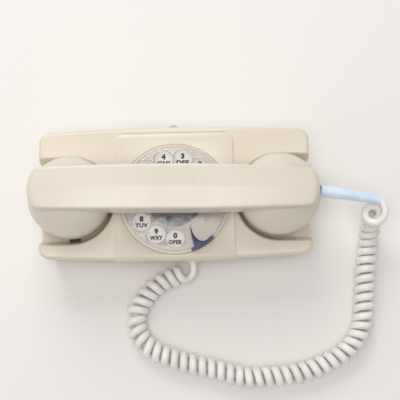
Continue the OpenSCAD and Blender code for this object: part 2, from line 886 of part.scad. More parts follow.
// Socket for the line cord, in the back wall
module line_jack() color("#303030")
    translate([jack_x - jack_w / 2, 0, jack_z])
        difference() {
            union() {
                translate([0, jack_end - 18.2, 0])
                    cube([jack_w, 18.2, jack_h]);
                translate([2, jack_end - 18.2, floor_z - jack_z])
                    cube([jack_w - 4, 10, jack_z - floor_z + eps]);
            }
            translate([1.2, jack_end - 12.2, 2])
                cube([jack_w - 2.4, 20, 7]);
            translate([4, jack_end - 7.2, 8])
                cube([jack_w - 8, 20, 2.4]);
        }

module cord_grommet() color("whitesmoke")
    at_front_jack()
        difference() {
            union() {
                translate([0, 0, -6])
                    cylinder(h = 6 + eps, r = grommet_r);
                cylinder(h = 1.4, r1 = grommet_r + 1.6, r2 = grommet_r + 1);
            }
            translate([0, 0, -7])
                cylinder(h = 10, d = wire_d);
        }

// Handset: a roof-topped bar that runs into two round heads
head_r = head_d / 2;
head_low = 37;     // lower edge of the shell, on the caps
head_wide = 52;    // the heads start to close in from here up
side_z = 79.2;     // top of the bar's upright sides
shoulder = 2;      // width of the bevel between the sides and the crown
bar_low = 62;      // underside of the bar
cavity_r = head_r - 3.5;
cap_r = head_r - 1.4;
capsule_r = cavity_r - 2.5;  // receiver and transmitter
cavity_h = 13;
function bar_half(x) = bar_w / 2 - (bar_w - bar_end_w) / 2 * pow(abs(x) / cup_x, 2);
end_r = head_r - 1.2;

module bar_plan() {
    xs = [0:12.5:cup_x];
    polygon(concat(
        [for (x = [-62.5:12.5:62.5]) [x, -bar_half(x)]],
        arc(cup_x, 0, end_r, -asin(bar_half(80) / end_r), asin(bar_half(80) / end_r), 8),
        [for (x = [62.5:-12.5:-62.5]) [x, bar_half(x)]],
        arc(-cup_x, 0, end_r, 180 - asin(bar_half(80) / end_r), 180 + asin(bar_half(80) / end_r), 8)));
}

module bar_side() {
    tip = cup_x + end_r;
    polygon(concat(
        [for (x = [-88:16:88]) [x, bar_top - 3.6 * pow(x / 88, 2)]],
        [[94, bar_top - 5], [99, bar_top - 8.5], [tip - 1.5, bar_top - 14], [tip, bar_top - 22]],
        [[tip, head_wide], [60, head_wide], [52, bar_low - 4], [44, bar_low - 0.8]],
        [for (x = [36:-12:-36]) [x, bar_low + 0.8 * (1 - pow(x / 36, 2))]],
        [[-44, bar_low - 0.8], [-52, bar_low - 4], [-60, head_wide], [-tip, head_wide]],
        [[-tip, bar_top - 22], [1.5 - tip, bar_top - 14], [-99, bar_top - 8.5], [-94, bar_top - 5]]));
}

module bar_section() {
    half = bar_w / 2;
    polygon([[-14, head_wide - 1], [14, head_wide - 1], [half, bar_low + 1], [half, side_z],
             [half - shoulder, side_z + 2.4], [0, bar_top + eps], [shoulder - half, side_z + 2.4],
             [-half, side_z], [-half, bar_low + 1]]);
}

module bar_solid()
    translate([0, hand_y, 0])
        intersection() {
            rotate([90, 0, 0])
                linear_extrude(80, center = true)
                    bar_side();
            linear_extrude(120)
                bar_plan();
            rotate([90, 0, 90])
                linear_extrude(240, center = true)
                    bar_section();
        }

module head_solid(side)
    translate([side * cup_x, hand_y, 0])
        rotate_extrude($fn = 96)
            polygon(concat([[0, head_low], [head_r - 0.8, head_low], [head_r - 0.2, head_low + 5]],
                arc(0, head_wide, head_r, 0, 20, 2),
                [for (t = [28:12:88]) [head_r * cos(t), head_wide + 23 * sin(t)]],
                [[0, head_wide + 23]]));

sleeve_l = 44;
sleeve_r0 = 4.6;
sleeve_r1 = 3.3;
sleeve_z = 52.5;
sleeve_y = 1;      // the cord leaves a little behind the handset's own line
module on_sleeve() {
    translate([cup_x + head_r - 0.3, hand_y + sleeve_y, sleeve_z])
        rotate([0, 0, -10])
            rotate([0, 95, 0])
                children();
}

// The handset's moulding, thick in the bar and hollow in the heads for the capsules
module handset_shell() color("ivory")
    difference() {
        union() {
            bar_solid();
            for (side = [-1, 1])
                head_solid(side);
        }
        for (side = [-1, 1])
            translate([side * cup_x, hand_y, head_low - 1]) {
                cylinder(h = cavity_h, r = cavity_r, $fn = 96);
                translate([0, 0, cavity_h])
                    cylinder(h = 3, r1 = cavity_r, r2 = cavity_r - 3);
            }
        on_sleeve()
            translate([0, 0, -5])
                cylinder(h = 9, r = sleeve_r0 + slip);
        // pocket for the cord's clamp
        on_sleeve()
            translate([0, 0, -12])
                cylinder(h = 8, r = sleeve_r0 + 2.4);
    }

// The caps' skirts rise this high inside the heads
skirt_top = head_low + 4;
transmitter_top = cup_z + 10;
module cap_body()
    rotate_extrude($fn = 96)
        polygon([[0, cup_z + 0.2], [cap_r - 2.9, cup_z + 0.2], [cap_r - 1.5, cup_z + 1.2],
                 [cap_r - 0.3, cup_z + 4], [cap_r, head_low],
                 [cavity_r - slip, head_low], [cavity_r - slip, skirt_top], [cavity_r - 2, skirt_top],
                 [cavity_r - 2, cup_z + 2.4], [0, cup_z + 2.4]]);

module ear_cap() color("ivory")
    translate([-cup_x, hand_y, 0])
        difference() {
            cap_body();
            for (a = [0:60:300])
                rotate(a)
                    translate([6, 0, cup_z - 1])
                        cylinder(h = 6, r = 1.1);
            translate([0, 0, cup_z - 1])
                cylinder(h = 6, r = 1.1);
        }

module mouth_cap() color("ivory")
    translate([cup_x, hand_y, 0])
        difference() {
            cap_body();
            for (ring = [1:3])
                for (i = [0:5 * ring - 1])
                    rotate(i * 360 / (5 * ring))
                        translate([5 * ring, 0, cup_z - 1])
                            cylinder(h = 6, r = 0.9, $fn = 16);
        }

module receiver() color("darkgray")
    translate([-cup_x, hand_y, 0])
        rotate_extrude($fn = 72)
            polygon([[0, cup_z + 2.4], [capsule_r, cup_z + 2.4], [capsule_r, cup_z + 5.4],
                     [capsule_r - 2.5, cup_z + 6.4], [capsule_r - 2.5, cup_z + 13],
                     [capsule_r - 6.5, cup_z + 16], [0, cup_z + 16]]);

module receiver_terminals() color("goldenrod")
    translate([-cup_x, hand_y, cup_z + 16])
        for (x = [-6, 6])
            translate([x, 0, 0]) {
                translate([-2.5, -4, 0])
                    cube([5, 8, 0.6]);
                translate([0, 0, 0.6 - eps])
                    cylinder(h = 1.6, r = 2);
            }

module transmitter() color("darkgray")
    translate([cup_x, hand_y, 0])
        rotate_extrude($fn = 72)
            polygon([[0, cup_z + 2.4], [capsule_r, cup_z + 2.4], [capsule_r, cup_z + 4.8],
                     [capsule_r - 3.5, cup_z + 6],
                     [capsule_r - 4.5, transmitter_top], [0, transmitter_top]]);

module transmitter_cup() color("#2b2b2b")
    translate([cup_x, hand_y, 0])
        difference() {
            translate([0, 0, skirt_top])
                cylinder(h = 4, r = cavity_r - slip, $fn = 72);
            translate([0, 0, skirt_top - 1])
                cylinder(h = 4, r = cavity_r - 3, $fn = 72);
            for (x = [-8, 8])
                translate([x, 0, head_low])
                    cylinder(h = 20, r = 1.5);
        }

module transmitter_contacts() color("goldenrod")
    translate([cup_x, hand_y, 0])
        for (x = [-8, 8])
            translate([x, 0, 0]) {
                translate([0, 0, transmitter_top + 0.5])
                    cylinder(h = skirt_top + 5 - transmitter_top - 0.5, r = 1.4);
                translate([-1.4, -8, transmitter_top])
                    cube([2.8, 10, 0.6]);
                translate([0, 0, skirt_top + 4])
                    cylinder(h = 1.2, r = 2.6);
            }

module cord_clamp() color("silver")
    on_sleeve()
        difference() {
            translate([0, 0, -8])
                cylinder(h = 2, r = sleeve_r0 + 1.2);
            translate([0, 0, -9])
                cylinder(h = 4, d = wire_d);
        }

module cord_sleeve() color("lightsteelblue")
    on_sleeve() {
        translate([0, 0, -6])
            cylinder(h = 8, r = sleeve_r0);
        translate([0, 0, 2 - eps])
            cylinder(h = sleeve_l - 2, r1 = sleeve_r0, r2 = sleeve_r1);
    }

// The cord: a round tube swept along a route of points, each ring square to the way it runs
function unit(v) = v / norm(v);
function way(pts, i) = unit(pts[min(i + 1, len(pts) - 1)] - pts[max(i - 1, 0)]);
function ring(p, t, r, sides) =
    let (across = unit([-t[1], t[0], 0]), up = cross(t, across))
    [for (k = [0:sides - 1]) let (a = 360 * k / sides) p + r * cos(a) * across + r * sin(a) * up];
module tube(pts, d, sides) {
    n = len(pts);
    points = [for (i = [0:n - 1]) for (q = ring(pts[i], way(pts, i), d / 2, sides)) q];
    walls = [for (i = [0:n - 2])
        for (k = [0:sides - 1])
            let (a = i * sides + k, b = i * sides + (k + 1) % sides)
            for (face = [[a, a + sides, b + sides], [a, b + sides, b]])
                face];
    polyhedron(points, concat([[for (k = [0:sides - 1]) k]], walls,
        [[for (k = [0:sides - 1]) n * sides - 1 - k]]), convexity = 8);
}

coil_route = [[144, -19.5, 44.5], [144.5, -20.5, 32], [145.5, -24.5, 19], [145, -34, 10], [144.5, -45, 8],
    [142, -58, 8], [141, -72, 8], [139.5, -86, 8], [137.5, -100, 8], [131, -112.5, 8], [121, -121.5, 8],
    [108, -128, 8], [94, -133, 8], [79, -135.5, 8], [64, -136.5, 8], [50, -136.5, 8], [37, -133, 8],
    [24, -129.5, 8], [10, -126, 8], [-3, -122, 8], [-15, -117, 8], [-25, -110, 8], [-30.5, -100, 8],
    [-31.5, -90, 8], [-27.5, -80.5, 8], [-20.5, -71.5, 8], [-11, -64.5, 8], [-1, -60, 8], [6.5, -58, 8]];
module curly_cord() color("linen")
    tube([for (p = coil_route) [p[0], p[1], max(p[2], coil_d / 2)]], coil_d, 10);

module cord_tail() color("linen") {
    tube([[8, -57, 8], [10, -55.4, 8.2], [11.4, -53.6, 8.9], [12, -51.6, 9.6],
          [grommet_x, front_y(grommet_z) - panel_proud - 1.6, grommet_z - 0.2]], wire_d, 8);
}

feet();
base_plate();
base_screws();
housing();
dial_panel();
panel_screws();
number_plate();
dial_frame();
frame_screws();
movement_plate();
movement_pillars();
main_shaft();
main_gear();
main_spring();
finger_wheel();
wheel_screw();
finger_stop();
pulse_shaft();
pulse_wheel();
pulse_springs();
spring_block();
governor_shaft();
governor_weights();
governor_drum();
hook_lever();
hook_pin();
hook_bracket();
hook_spring();
hook_contacts();
network_block();
network_screws();
ringer_frame();
ringer_coil();
ringer_pin();
clapper();
gong();
gong_post();
gong_screw();
loudness_lever();
loudness_pin();
line_jack();
cord_grommet();
handset_shell();
ear_cap();
mouth_cap();
receiver();
receiver_terminals();
transmitter();
transmitter_cup();
transmitter_contacts();
cord_clamp();
cord_sleeve();
curly_cord();
cord_tail();
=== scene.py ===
# %% [markdown]
# # A rotary desk telephone with its curly cord
#
# The telephone's solids are already built and packed: they carry its size, its bodies and its
# joints. This lesson dresses them. Shapes that the eye rests on (the moulded shell, the handset,
# the clear finger wheel, the cord) are made again with softer edges and finer curves, and every
# other solid keeps its shape and gets a real surface.
# All drawing is done in millimetres, because the sizes of a telephone are easy to read that way,
# and each piece is shrunk to metres when it is put on its body.

# %% Load the solids and keep their box
import math

import bmesh
import bpy
import numpy as np
from mathutils import Matrix, Vector


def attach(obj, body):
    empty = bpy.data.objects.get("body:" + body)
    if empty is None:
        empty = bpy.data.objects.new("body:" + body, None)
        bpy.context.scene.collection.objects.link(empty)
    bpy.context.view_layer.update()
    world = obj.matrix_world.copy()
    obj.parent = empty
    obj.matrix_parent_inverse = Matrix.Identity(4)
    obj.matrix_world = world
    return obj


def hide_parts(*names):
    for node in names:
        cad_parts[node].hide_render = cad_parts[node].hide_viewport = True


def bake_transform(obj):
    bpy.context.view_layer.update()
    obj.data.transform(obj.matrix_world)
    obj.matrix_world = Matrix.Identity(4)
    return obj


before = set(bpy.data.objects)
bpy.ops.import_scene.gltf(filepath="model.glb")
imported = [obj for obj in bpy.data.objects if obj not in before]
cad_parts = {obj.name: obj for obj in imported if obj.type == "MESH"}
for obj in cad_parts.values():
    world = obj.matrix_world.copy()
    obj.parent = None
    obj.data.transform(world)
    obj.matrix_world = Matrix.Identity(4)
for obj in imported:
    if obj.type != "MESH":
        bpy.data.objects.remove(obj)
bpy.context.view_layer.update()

MM = 0.001
scene = bpy.context.scene
print("solids:", len(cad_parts))

# %% [markdown]
# ## Camera
#
# The telephone lies on a table and is looked at almost straight down, from a little in front of
# it. A camera could be aimed with a constraint, but three plain directions are enough: one that
# points back from the telephone to the lens, one to the right of the picture and one up it.

# %% Place the camera
view_height, view_turn, view_roll = math.radians(80.5), math.radians(-1.17), math.radians(-0.08)
view_target, view_distance = Vector((18.28, -9.2, 50)) * MM, 611.5 * MM

back = Vector((math.sin(view_turn) * math.cos(view_height), -math.cos(view_turn) * math.cos(view_height),
               math.sin(view_height)))
level = Vector((math.cos(view_turn), math.sin(view_turn), 0))
upward = back.cross(level)
right = math.cos(view_roll) * level + math.sin(view_roll) * upward
up = back.cross(right)

camera = bpy.data.objects.new("camera", bpy.data.cameras.new("camera"))
camera.data.lens, camera.data.sensor_width = 76.64, 36
camera.data.clip_start, camera.data.clip_end = 0.05, 20
axes = Matrix((right, up, back)).transposed().to_4x4()
camera.matrix_world = Matrix.Translation(view_target + back * view_distance) @ axes
scene.collection.objects.link(camera)
scene.camera = camera
print("camera at", [round(c, 3) for c in camera.matrix_world.translation])

# %% [markdown]
# ## Helpers for drafts
#
# A piece starts as a draft in millimetres. It may be cut by other drafts, with the exact boolean,
# before it is placed. Cutting first and softening the edges afterwards is how a mould is made too:
# the tool is milled sharp and its edges are broken last.

# %% Drafts and cuts
def draft(name, bm):
    """An object, still in millimetres, from a bmesh."""
    mesh = bpy.data.meshes.new(name)
    bmesh.ops.recalc_face_normals(bm, faces=bm.faces)
    bm.to_mesh(mesh)
    bm.free()
    obj = bpy.data.objects.new(name, mesh)
    scene.collection.objects.link(obj)
    return obj


def settle(obj):
    """Puts an object's modifiers into its mesh."""
    graph = bpy.context.evaluated_depsgraph_get()
    mesh = bpy.data.meshes.new_from_object(obj.evaluated_get(graph))
    obj.modifiers.clear()
    obj.data = mesh
    return obj


def combine(obj, tools, operation="DIFFERENCE"):
    """Cuts, joins or trims a draft with other drafts, which are used up."""
    for tool in tools:
        step = obj.modifiers.new("cut", "BOOLEAN")
        step.operation, step.object, step.solver = operation, tool, "EXACT"
    settle(obj)
    for tool in tools:
        bpy.data.objects.remove(tool)
    return obj


def soften(obj, width, segments, angle):
    """Rounds the edges that turn by more than an angle, in degrees."""
    step = obj.modifiers.new("soften", "BEVEL")
    step.width, step.segments, step.limit_method = width, segments, "ANGLE"
    step.angle_limit, step.use_clamp_overlap, step.harden_normals = math.radians(angle), True, False
    return settle(obj)


print("drafts are cut with the exact boolean and softened with a bevel")

# %% Put a finished draft on its body
def place(obj, body, surface, nodes=(), angle=32):
    """Shrinks a draft to metres and sets it on its body in the place of the solids it stands for.
    Edges that turn by less than the angle are shaded smooth."""
    obj.data.transform(Matrix.Scale(MM, 4))
    obj.data.shade_smooth()
    obj.data.set_sharp_from_angle(angle=math.radians(angle))
    obj.data.materials.clear()
    obj.data.materials.append(surface)
    if nodes:
        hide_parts(*nodes)
    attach(obj, body)
    print(f"{obj.name}: {sum(len(p.vertices) - 2 for p in obj.data.polygons)} triangles on {body}")

# %% [markdown]
# ## One helper for materials
#
# Node trees repeat one act: add a node, set it, link what feeds it. One helper does that for
# every kind of node. Colours are written as the hex values that a screen shows, and one function
# turns them to the linear values that the renderer adds up.

# %% Colours and nodes
def linear(code):
    """The linear colour of a hex value such as E1D7C3."""
    channels = [int(code[i:i + 2], 16) / 255 for i in (0, 2, 4)]
    return [c / 12.92 if c <= 0.04045 else ((c + 0.055) / 1.055) ** 2.4 for c in channels] + [1.0]


def add(tree, kind, values=None, links=None, **settings):
    """Adds a node, sets its properties and sockets, and links the sockets that something feeds."""
    node = tree.nodes.new(kind)
    for name, value in settings.items():
        setattr(node, name, value)
    for socket, value in (values or {}).items():
        node.inputs[socket].default_value = value
    for socket, source in (links or {}).items():
        tree.links.new(source, node.inputs[socket])
    return node


def material(name, **sockets):
    """A material whose Principled shader has its plain sockets set, ready for its patterns."""
    made = bpy.data.materials.new(name)
    made.use_nodes = True
    tree = made.node_tree
    tree.nodes.clear()
    plain = {socket.replace("_", " "): value for socket, value in sockets.items()}
    shader = add(tree, "ShaderNodeBsdfPrincipled", plain)
    add(tree, "ShaderNodeOutputMaterial", links={"Surface": shader.outputs[0]})
    return made, tree, shader


print("one helper adds every kind of node")

# %% [markdown]
# ## Patterns
#
# What makes a surface real is that nothing on it is even: its colour drifts between two shades,
# its gloss changes where it was handled or worked, and a fine texture bends its reflections. Each
# of these could be painted by hand on an unwrapped mesh. A noise in the piece's own coordinates
# needs no unwrapping, and its scale is simply one over the size of its lumps.

# %% A noise by its real size, and what it drives
def grain(tree, size_mm, detail=2.0, stretch=(1, 1, 1)):
    """A noise whose lumps are about size_mm across, fixed to the piece. A small stretch draws the
    lumps out along that axis."""
    spot = add(tree, "ShaderNodeTexCoord")
    scaled = add(tree, "ShaderNodeMapping", {"Scale": stretch}, {"Vector": spot.outputs["Object"]})
    return add(tree, "ShaderNodeTexNoise", {"Scale": 1 / (size_mm * MM), "Detail": detail, "Roughness": 0.55},
               {"Vector": scaled.outputs[0]})


def weather(tree, shader, shades, gloss, relief):
    """Drives a shader's colour, roughness and normal, each from a noise.
    shades: the noise, its value and colour at the dark end, then at the light end.
    gloss: the noise, the two values it is read between, the roughness at each.
    relief: the noise, the strength of the bump, its height in millimetres."""
    clouds, dark_at, dark, light_at, light = shades
    tint = add(tree, "ShaderNodeValToRGB", links={"Fac": clouds.outputs[0]})
    tint.color_ramp.elements[0].position, tint.color_ramp.elements[0].color = dark_at, linear(dark)
    tint.color_ramp.elements[1].position, tint.color_ramp.elements[1].color = light_at, linear(light)
    marks, low, high, glossy, dull = gloss
    rough = add(tree, "ShaderNodeMapRange",
                {"From Min": low, "From Max": high, "To Min": glossy, "To Max": dull},
                {"Value": marks.outputs[0]})
    texture, strength, height_mm = relief
    bump = add(tree, "ShaderNodeBump", {"Strength": strength, "Distance": height_mm * MM},
               {"Height": texture.outputs[0]})
    tree.links.new(tint.outputs[0], shader.inputs["Base Color"])
    tree.links.new(rough.outputs[0], shader.inputs["Roughness"])
    tree.links.new(bump.outputs[0], shader.inputs["Normal"])


print("patterns are sized in millimetres")

# %% [markdown]
# ## Moulded ABS
#
# The shell, the centre panel, the handset and its caps are ABS, pressed in a polished steel
# mould and then handled for fifty years. It could be one flat cream, but old ABS is never even:
# it yellows in soft clouds, skin oil leaves it glossier where hands go, and a fine mould texture
# breaks up its reflections. Three noises of 60 mm, 9 mm and 0.5 mm give those; the finest is
# drawn coarser than the real 0.1 mm so that it still shows.

# %% Old cream ABS in two shades
def moulded_abs(name, fresh, aged, shine):
    """Cream ABS that drifts between a fresh and an aged shade; shine is its least roughness."""
    made, tree, shader = material(name, IOR=1.53, Coat_Weight=0.12, Coat_Roughness=0.12)
    clouds, handling, texture = grain(tree, 60, 1.0), grain(tree, 9, 3.0), grain(tree, 0.5, 2.0)
    weather(tree, shader, (clouds, 0.30, aged, 0.70, fresh), (handling, 0.3, 0.7, shine, shine + 0.12),
            (texture, 0.05, 0.05))
    return made


shell_abs = moulded_abs("shell cream ABS", "E3D9C8", "DDD2BF", 0.30)
handset_abs = moulded_abs("handset ivory ABS", "E1D9CB", "DBD2C2", 0.27)
print("ABS:", shell_abs.name, "and", handset_abs.name)

# %% [markdown]
# ## The curly cord
#
# A handset cord is a vinyl-covered cord wound hot on a rod, so it springs back into turns. It
# leaves the handset through a long bend relief, drops to the table, runs round in a loose arc
# and goes into the front of the base. A screw modifier could wind it along a straight axis only.
# Here the axis is a smooth route, and each point of the cord stands off it by the turn's radius,
# in a frame that is carried along the route without twisting.

# %% Route of the coil's middle line, in metres
coil_route = np.array([
    (0.1422, -0.0209, 0.0473), (0.1434, -0.02, 0.0413), (0.1447, -0.0193, 0.035), (0.1456, -0.0199, 0.0288),
    (0.146, -0.0226, 0.022), (0.1459, -0.0275, 0.016), (0.1455, -0.0342, 0.0112), (0.1448, -0.043, 0.0084),
    (0.1436, -0.051, 0.008), (0.142, -0.06, 0.008), (0.141, -0.072, 0.008), (0.1395, -0.086, 0.008),
    (0.1375, -0.1, 0.008), (0.131, -0.1125, 0.008), (0.121, -0.1215, 0.008), (0.108, -0.128, 0.008),
    (0.094, -0.133, 0.008), (0.079, -0.1355, 0.008), (0.064, -0.1365, 0.008), (0.05, -0.1365, 0.008),
    (0.037, -0.133, 0.008), (0.024, -0.1295, 0.008), (0.01, -0.126, 0.008), (-0.003, -0.122, 0.008),
    (-0.015, -0.117, 0.008), (-0.025, -0.11, 0.008), (-0.0305, -0.1, 0.008), (-0.0315, -0.09, 0.008),
    (-0.0275, -0.0805, 0.008), (-0.0205, -0.0715, 0.008), (-0.011, -0.0645, 0.008), (-0.0035, -0.0615, 0.008),
    (0.0025, -0.0592, 0.0086), (0.0066, -0.058, 0.011), (0.008, -0.0576, 0.015)])
cord_wire, cord_turn = 5.8 * MM, 16.0 * MM
tight_pitch, loose_pitch = 6.05 * MM, 7.1 * MM
cord_exit = np.array((0.1047, -0.0050, 0.0525))
grommet_mouth = np.array((0.0120, -0.0500, 0.0103))


def smooth_line(points, step):
    """Points a step apart on a curve that passes smoothly through the given ones."""
    ends = np.vstack((2 * points[0] - points[1], points, 2 * points[-1] - points[-2]))
    line = []
    for a, b, c, d in zip(ends, ends[1:], ends[2:], ends[3:]):
        for t in np.linspace(0, 1, 24, endpoint=False):
            line.append(0.5 * (2 * b + (c - a) * t + (2 * a - 5 * b + 4 * c - d) * t ** 2
                               + (3 * b - a - 3 * c + d) * t ** 3))
    line = np.array(line + [points[-1]])
    run = np.concatenate(([0], np.cumsum(np.linalg.norm(np.diff(line, axis=0), axis=1))))
    even = np.linspace(0, run[-1], int(run[-1] / step) + 1)
    return np.column_stack([np.interp(even, run, line[:, k]) for k in range(3)])


coil_line = smooth_line(coil_route, 0.2 * MM)
middle_length = np.linalg.norm(np.diff(coil_line, axis=0), axis=1).sum()
print("coil's middle line:", round(middle_length / MM), "mm")

# %% Wind the cord round the route
def wind(line, radius, aim, flare, turn_points=18):
    """A helix round a line. The turns lie nearly side by side at first, then a little apart, and
    never closer on the inside of a bend than the cord is thick. It starts on the side that aim
    points to, wider by flare, and closes in within a little more than half a turn."""
    tight_run, loosening, flared_turn = 28 * MM, 35 * MM, 1.25 * math.pi
    near, sharpest, spare = 20, 100, 1.04
    steps = np.diff(line, axis=0)
    length = np.linalg.norm(steps, axis=1)
    ways = steps / length[:, None]
    across = np.array(aim) - ways[0] * np.dot(aim, ways[0])
    angle, run, points, last = 0.0, 0.0, [], -1.0
    for k, way in enumerate(ways):
        across = across - way * across.dot(way)
        across /= np.linalg.norm(across)
        side = np.cross(way, across)
        ahead, behind = ways[min(k + near, len(ways) - 1)], ways[max(k - near, 0)]
        bend = np.linalg.norm(ahead - behind) / (2 * near * length[k])
        ease = min(1.0, max(0.0, (run - tight_run) / loosening))
        pitch = max(tight_pitch + (loose_pitch - tight_pitch) * ease,
                    spare * cord_wire / (1 - radius * min(bend, sharpest)))
        if angle - last >= 2 * math.pi / turn_points or not points:
            reach = radius + flare * max(0.0, 1 - angle / flared_turn) ** 1.2
            points.append(line[k] + reach * (math.cos(angle) * across + math.sin(angle) * side))
            last = angle
        angle += 2 * math.pi * length[k] / pitch
        run += length[k]
    print("turns:", round(angle / (2 * math.pi), 1))
    return np.array(points)


def join(a, way_a, b, way_b, pull, count=14):
    """A smooth lead between two ends, each left in its own direction."""
    t = np.linspace(0, 1, count + 2)[1:-1, None]
    return ((2 * t ** 3 - 3 * t ** 2 + 1) * a + (t ** 3 - 2 * t ** 2 + t) * way_a * pull
            + (3 * t ** 2 - 2 * t ** 3) * b + (t ** 3 - t ** 2) * way_b * pull)


unwound = 5
coil = wind(coil_line, (cord_turn - cord_wire) / 2, (0.7, 0.7, 0), 5.3 * MM)[:-unwound]
print("coil:", len(coil), "points; the last", unwound, "are left to the lead into the base")

# %% [markdown]
# ## Bend relief and leads
#
# The relief is a vinyl sleeve, 43 mm long, that tapers towards the cord and lets it curve gently
# before the first turn. The cord runs inside it from the handset. At its other end the cord
# leaves the last turn and goes straight into the grommet in the base. Each lead could be one more
# spline, but it must leave the coil exactly as the coil runs, so it is a curve that is given the
# direction at both of its ends.

# %% Join the relief's line, the turns and the lead into the base
relief_line = smooth_line(np.array([cord_exit, (0.1150, -0.0062, 0.0521), (0.1260, -0.0079, 0.0513),
                                    (0.1365, -0.0098, 0.0503), (0.1425, -0.0107, 0.0500),
                                    (0.1467, -0.0121, 0.0499)]), 1.2 * MM)
relief_way = relief_line[-1] - relief_line[-2]
relief_way /= np.linalg.norm(relief_way)
first_way = (coil[1] - coil[0]) / np.linalg.norm(coil[1] - coil[0])
last_way = (coil[-1] - coil[-2]) / np.linalg.norm(coil[-1] - coil[-2])
grommet_way = np.array((0, 1.0, 0.06))
lead_in = join(relief_line[-1], relief_way, coil[0], first_way, 3.3 * MM, 3)
lead_out = join(coil[-1], last_way, grommet_mouth, grommet_way, 12 * MM)
inside_base = grommet_mouth + (0, 3 * MM, 0)
cord_path = np.vstack((relief_line, lead_in, coil, lead_out, [grommet_mouth, inside_base]))


def mesh_of(shape):
    """The mesh of a curve or a text. An object carries the shape while it is read off."""
    carrier = bpy.data.objects.new(shape.name, shape)
    scene.collection.objects.link(carrier)
    graph = bpy.context.evaluated_depsgraph_get()
    mesh = bpy.data.meshes.new_from_object(carrier.evaluated_get(graph))
    bpy.data.objects.remove(carrier)
    return mesh


def rework(mesh, change):
    """Opens a finished mesh as a bmesh, lets a function change it, and puts it back."""
    bm = bmesh.new()
    bm.from_mesh(mesh)
    change(bm)
    bm.to_mesh(mesh)
    bm.free()


def close_caps(bm):
    """Merges the points that a tube and its two caps share, and turns every face outwards."""
    bmesh.ops.remove_doubles(bm, verts=bm.verts, dist=1e-7)
    bmesh.ops.recalc_face_normals(bm, faces=bm.faces)


def tube(name, points, radii, sides):
    """A closed round tube through points, as a mesh that is already in metres."""
    shape = bpy.data.curves.new(name, "CURVE")
    shape.dimensions, shape.use_fill_caps = "3D", True
    shape.bevel_depth, shape.bevel_resolution = 1.0, sides // 4 - 1
    spline = shape.splines.new("POLY")
    spline.points.add(len(points) - 1)
    for spot, point, radius in zip(spline.points, points, radii):
        spot.co, spot.radius = (*point, 1), radius
    obj = bpy.data.objects.new(name, mesh_of(shape))
    scene.collection.objects.link(obj)
    rework(obj.data, close_caps)
    obj.data.shade_smooth()
    obj.data.set_sharp_from_angle(angle=math.radians(50))
    obj.data.materials.clear()
    return obj

# %% [markdown]
# The cord's jacket is soft vinyl, extruded and wound: smooth, about as glossy as the housing, with
# a faint warm tint in patches where dirt has settled. The relief is a harder, cooler white vinyl
# that lets a little more light in, so it gets more subsurface scattering. The patches are about
# 14 mm across, and the skin's texture is drawn at 0.8 mm, coarser than the real one, to show.

# %% Vinyl for the cord and its relief
def extruded_vinyl(name, clean, dull, shine, depth):
    """White vinyl with duller patches; depth is how much light it scatters inside."""
    made, tree, shader = material(name, IOR=1.53, Subsurface_Weight=depth, Subsurface_Scale=0.002,
                                  Coat_Weight=0.1, Coat_Roughness=0.2)
    patches, skin = grain(tree, 14, 2.0), grain(tree, 0.8, 2.0)
    weather(tree, shader, (patches, 0.32, dull, 0.62, clean), (patches, 0, 1, shine, shine + 0.12),
            (skin, 0.06, 0.06))
    return made


cord_vinyl = extruded_vinyl("white cord vinyl", "F5F3F0", "EBE8E2", 0.30, 0.1)
relief_vinyl = extruded_vinyl("cool white relief vinyl", "E0EBFA", "D0E1F8", 0.28, 0.2)

relief_root, relief_tip = 4.6, 3.6
relief = tube("bend_relief", relief_line, np.linspace(relief_root, relief_tip, len(relief_line)) * MM, 24)
relief.data.materials.append(relief_vinyl)
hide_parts("cord_sleeve")
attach(relief, "handset")

cord = tube("handset_cord", cord_path, np.full(len(cord_path), cord_wire / 2), 12)
cord.data.materials.append(cord_vinyl)
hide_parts("curly_cord", "cord_tail")
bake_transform(cord)
print("cord mesh:", len(cord.data.polygons), "faces")

# %% [markdown]
# ## Table and light
#
# The telephone stands on a plain pale table in soft daylight that comes from behind it, from the
# far side: the back rims catch a bright line and the near slopes stay a shade darker. One large
# lamp low behind it does that, one overhead lights the level faces, and a broad weak one at the
# front left opens the shadows.

# %% Floor, lamps and world
floor_mesh = bmesh.new()
bmesh.ops.create_grid(floor_mesh, x_segments=1, y_segments=1, size=3.0)
floor = draft("table_top", floor_mesh)
paper, paper_tree, paper_shader = material("pale matt paper", Roughness=0.9)
paper_shader.inputs["Base Color"].default_value = linear("ECEAE6")
fibres = grain(paper_tree, 3, 3.0)
paper_bump = add(paper_tree, "ShaderNodeBump", {"Strength": 0.03, "Distance": 0.1 * MM},
                 {"Height": fibres.outputs[0]})
paper_tree.links.new(paper_bump.outputs[0], paper_shader.inputs["Normal"])
floor.data.materials.append(paper)


def soft_lamp(name, spot, size, power, colour):
    """A square lamp that faces the telephone."""
    lamp = bpy.data.objects.new(name, bpy.data.lights.new(name, "AREA"))
    lamp.data.size, lamp.data.energy, lamp.data.color = size, power, linear(colour)[:3]
    facing = (-Vector(spot)).to_track_quat("-Z", "Y")
    lamp.matrix_world = Matrix.Translation(spot) @ facing.to_matrix().to_4x4()
    scene.collection.objects.link(lamp)


soft_lamp("window", (-0.3, 1.1, 1.0), 0.9, 11, "FFFDFA")
soft_lamp("skylight", (-0.1, -0.2, 1.65), 0.9, 10.4, "FFFDFC")
soft_lamp("room", (-1.1, -0.8, 1.1), 1.4, 2.4, "FFF2EA")
scene.world = bpy.data.worlds.new("room light")
scene.world.use_nodes = True
sky = scene.world.node_tree.nodes["Background"]
sky.inputs["Color"].default_value = linear("F2F3F5")
sky.inputs["Strength"].default_value = 0.42
scene.view_settings.view_transform = "Standard"
print("lit and staged")

